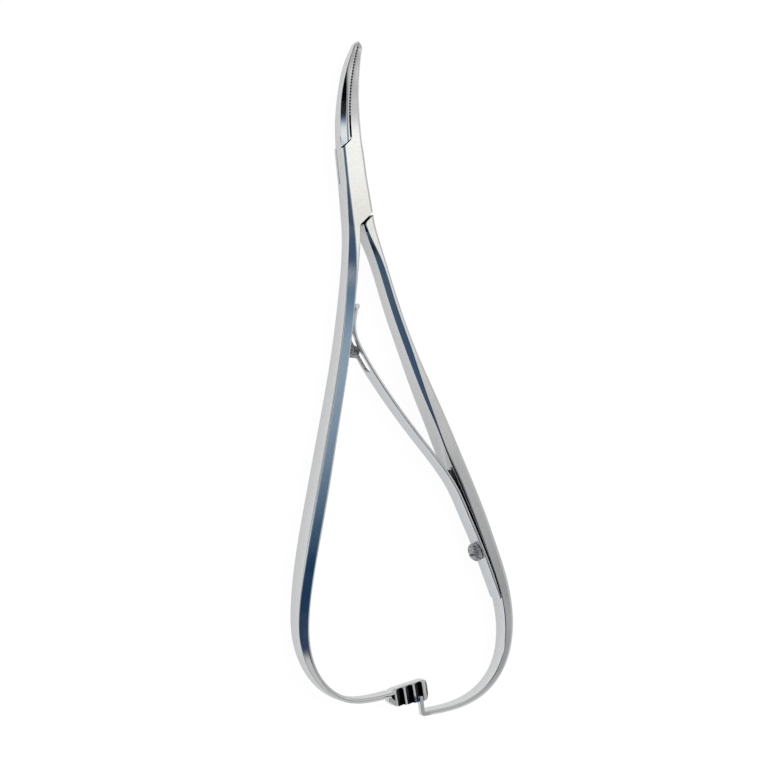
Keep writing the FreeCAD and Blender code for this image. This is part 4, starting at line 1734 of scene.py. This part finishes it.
@dataclass
class Studio:
    """Pale floor, soft light and the camera."""

    target: tuple[float, float, float] = (1.635, -42.15, 3.084)
    back: tuple[float, float, float] = (-0.4034, 0.0524, 0.9135)
    right: tuple[float, float, float] = (0.9059, -0.1177, 0.4067)
    distance: float = 450.0
    focal_pixels: float = 2176.0
    image_width: float = 768.0
    sensor: float = 36.0
    floor_size: float = 1.5
    panels: dict[str, tuple] = field(default_factory=lambda: {
        "front": ((-0.4, (0.55, 0.56, 0.57)), (-0.27, (0.5, 0.51, 0.52)),
                  (-0.22, (0.3, 0.31, 0.32)), (-0.19, (0.36, 0.37, 0.38)),
                  (-0.1, (0.42, 0.43, 0.44)), (-0.05, (0.52, 0.53, 0.53)),
                  (-0.02, (0.60, 0.60, 0.58)), (0.01, (0.70, 0.70, 0.66)),
                  (0.03, (0.84, 0.84, 0.81)),
                  (0.055, (1.0, 1.0, 0.98)), (0.12, (1.0, 1.0, 0.99)), (0.17, (0.85, 0.85, 0.85)),
                  (0.2, (0.65, 0.65, 0.65)), (0.23, (0.5, 0.5, 0.5)), (0.3, (0.4, 0.4, 0.4))),
        "top": ((-0.285, (0.5, 0.51, 0.52)), (-0.26, (0.012, 0.036, 0.09)),
                (-0.12, (0.010, 0.038, 0.09)), (-0.07, (0.048, 0.098, 0.16)),
                (-0.04, (0.107, 0.17, 0.25)), (-0.015, (0.19, 0.27, 0.37)),
                (0.02, (0.23, 0.32, 0.42)), (0.07, (0.28, 0.38, 0.47)),
                (0.11, (0.22, 0.31, 0.41)), (0.17, (0.11, 0.19, 0.29)),
                (0.28, (0.1, 0.15, 0.2)), (0.34, (0.4, 0.41, 0.42))),
        "left": ((-0.45, (0.02, 0.02, 0.02)), (-0.36, (0.002, 0.002, 0.003)),
                 (-0.31, (0.04, 0.08, 0.15)), (-0.19, (0.05, 0.09, 0.15)),
                 (-0.1, (0.1, 0.12, 0.15)), (0.02, (0.04, 0.07, 0.12)),
                 (0.045, (0.09, 0.11, 0.14)), (0.07, (0.05, 0.09, 0.15)),
                 (0.17, (0.05, 0.09, 0.16)), (0.21, (0.4, 0.43, 0.46)), (0.25, (0.8, 0.82, 0.84)),
                 (0.34, (0.7, 0.73, 0.76)), (0.39, (0.02, 0.04, 0.08)), (0.45, (0.3, 0.31, 0.32))),
        "low_left": ((-0.45, (0.02, 0.02, 0.02)), (-0.36, (0.002, 0.002, 0.003)),
                     (-0.31, (0.04, 0.08, 0.15)), (-0.19, (0.05, 0.09, 0.15)),
                     (0.0, (0.15, 0.17, 0.2)), (0.08, (0.3, 0.33, 0.36)),
                     (0.15, (0.85, 0.88, 0.9)), (0.25, (0.7, 0.77, 0.82)),
                     (0.29, (0.2, 0.3, 0.42)), (0.33, (0.01, 0.04, 0.1)),
                     (0.36, (0.0, 0.0, 0.0)), (0.5, (0.0, 0.0, 0.0))),
    })
    floor_colour: tuple[float, float, float] = (0.9, 0.9, 0.9)
    white: tuple[float, float, float] = (1.0, 1.0, 1.0)
    mirrored_floor: tuple[float, float, float] = (0.54, 0.56, 0.58)
    camera_share: float = 0.95
    gloss_share: float = 0.75
    right_edge: tuple[float, float, float] = (0.48, 0.49, 0.50)
    low_side: tuple[float, float, float] = (0.5, 0.51, 0.52)
    skirting: tuple[float, float, float] = (0.04, 0.045, 0.05)
    room_light: tuple[float, float, float] = (0.8, 0.8, 0.8)
    lamps: tuple[Lamp, ...] = (
        Lamp("key_softbox", (0.35, 0.15, 0.6), 0.5, 3.5),
        Lamp("fill_softbox", (-0.4, -0.3, 0.55), 0.5, 1.5),
    )

    def camera(self) -> None:
        """Set the camera up at the photograph's angle."""
        back = Vector(self.back).normalized()
        right = Vector(self.right)
        right = (right - back * right.dot(back)).normalized()
        up = back.cross(right)
        spot = (Vector(self.target) + back * self.distance) * MILLIMETRE
        turn = Matrix((right, up, back)).transposed().to_4x4()
        data = bpy.data.cameras.new("camera")
        data.sensor_width = self.sensor
        data.lens = self.focal_pixels / self.image_width * self.sensor
        data.clip_start, data.clip_end = 0.01, 10.0
        made = bpy.data.objects.new("camera", data)
        bpy.context.scene.collection.objects.link(made)
        made.matrix_world = Matrix.Translation(spot) @ turn
        bpy.context.scene.camera = made

    def floor(self) -> None:
        """Lay the pale floor, which keeps the tool's shadow."""
        metal = bmesh.new()
        bmesh.ops.create_grid(metal, x_segments=1, y_segments=1, size=self.floor_size / 2)
        mesh = bpy.data.meshes.new("floor")
        metal.to_mesh(mesh)
        metal.free()
        floor = bpy.data.objects.new("floor", mesh)
        bpy.context.scene.collection.objects.link(floor)
        material = bpy.data.materials.new("pale_floor")
        material.use_nodes = True
        material.node_tree.nodes.clear()
        bench = NodeBench(material.node_tree)
        path = bench.node("ShaderNodeLightPath")
        matt = bench.node("ShaderNodeBsdfDiffuse")
        matt.inputs["Color"].default_value = (*self.floor_colour, 1.0)
        glow = bench.node("ShaderNodeEmission")
        bench.join(bench.mixed(path.outputs["Is Glossy Ray"], self.white, self.mirrored_floor),
                   glow.inputs["Color"])
        camera = bench.maths("MULTIPLY", path.outputs["Is Camera Ray"], self.camera_share)
        gloss = bench.maths("MULTIPLY", path.outputs["Is Glossy Ray"], self.gloss_share)
        mix = bench.node("ShaderNodeMixShader")
        bench.join(bench.maths("ADD", camera, gloss), mix.inputs[0])
        bench.join(matt.outputs[0], mix.inputs[1])
        bench.join(glow.outputs[0], mix.inputs[2])
        bench.join(mix.outputs[0], bench.node("ShaderNodeOutputMaterial").inputs["Surface"])
        mesh.materials.append(material)

    def surroundings(self) -> None:
        """Set the world: white to the camera, and a soft studio with a dark side to metal."""
        world = bpy.data.worlds.new("studio")
        bpy.context.scene.world = world
        world.use_nodes = True
        world.node_tree.nodes.clear()
        bench = NodeBench(world.node_tree)
        place, path = bench.node("ShaderNodeTexCoord"), bench.node("ShaderNodeLightPath")
        parts = bench.node("ShaderNodeSeparateXYZ")
        bench.join(place.outputs["Generated"], parts.inputs[0])
        x, y, z = parts.outputs
        zones = {name: bench.ramp(y, stops) for name, stops in self.panels.items()}
        edge = bench.mixed(bench.ramped(x, 0.5, 0.65), zones["front"], self.right_edge)
        deep_left = bench.mixed(bench.ramped(z, 0.42, 0.48), self.low_side, zones["low_left"])
        high_left = bench.mixed(bench.ramped(z, 0.72, 0.78), deep_left, zones["left"])
        left = bench.mixed(bench.ramped(z, 0.1, 0.3), self.skirting, high_left)
        top = bench.mixed(bench.ramped(x, -0.40, -0.22), left, zones["top"])
        studio = bench.mixed(bench.ramped(x, 0.285, 0.35), top, edge)
        room = bench.mixed(path.outputs["Is Glossy Ray"], self.room_light, studio)
        seen = bench.mixed(path.outputs["Is Camera Ray"], room, self.white)
        shade = bench.node("ShaderNodeBackground")
        bench.join(seen, shade.inputs["Color"])
        bench.join(shade.outputs[0], bench.node("ShaderNodeOutputWorld").inputs["Surface"])

    def build(self) -> None:
        """Set up everything that isn't part of the tool."""
        self.camera()
        self.floor()
        self.surroundings()
        for lamp in self.lamps:
            lamp.hang(Vector(self.target) * MILLIMETRE)
        bpy.context.scene.view_settings.view_transform = "Standard"


def main() -> None:
    """Build the pieces in order and dress them."""
    logging.basicConfig(level=logging.INFO, format="%(name)s: %(message)s")
    Studio().build()
    lock, plate, dresser = BoxLock(), RatchetPlate(), Dresser()
    jaws = Jaws(lock)
    left = ArmRun(lock, Side.LEFT, LEFT_ROWS, (2.5, lock.foot_bevel, 0.12))
    right = ArmRun(lock, Side.RIGHT, RIGHT_ROWS, (2.5, lock.edge_bevel, 0.3))
    dresser.hang(BoxHalf(lock, jaws, left, plate).build(), POLISHED, "box_side", "box_half")
    dresser.hang(TongueHalf(lock, jaws, right, Pawl(plate)).build(), POLISHED, "tongue_side",
                 "tongue_half")
    dresser.hang(PivotPin(lock).build(), POLISHED, "box_side", "pivot_pin")
    dresser.hang(SpringScrew(right).build(), TURNED, "tongue_side", "spring_screw")
    dresser.hang(GuidePeg(left).build(), TURNED, "box_side", "guide_peg")
    leaf = LeafSpring(left, right).build()
    dresser.dress(leaf, SPRING, TURNED)
    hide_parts("leaf_spring")
    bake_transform(leaf)
    LOG.info("slotted_leaf_spring bends between tongue_side and box_side")


if __name__ == "__main__":
    main()
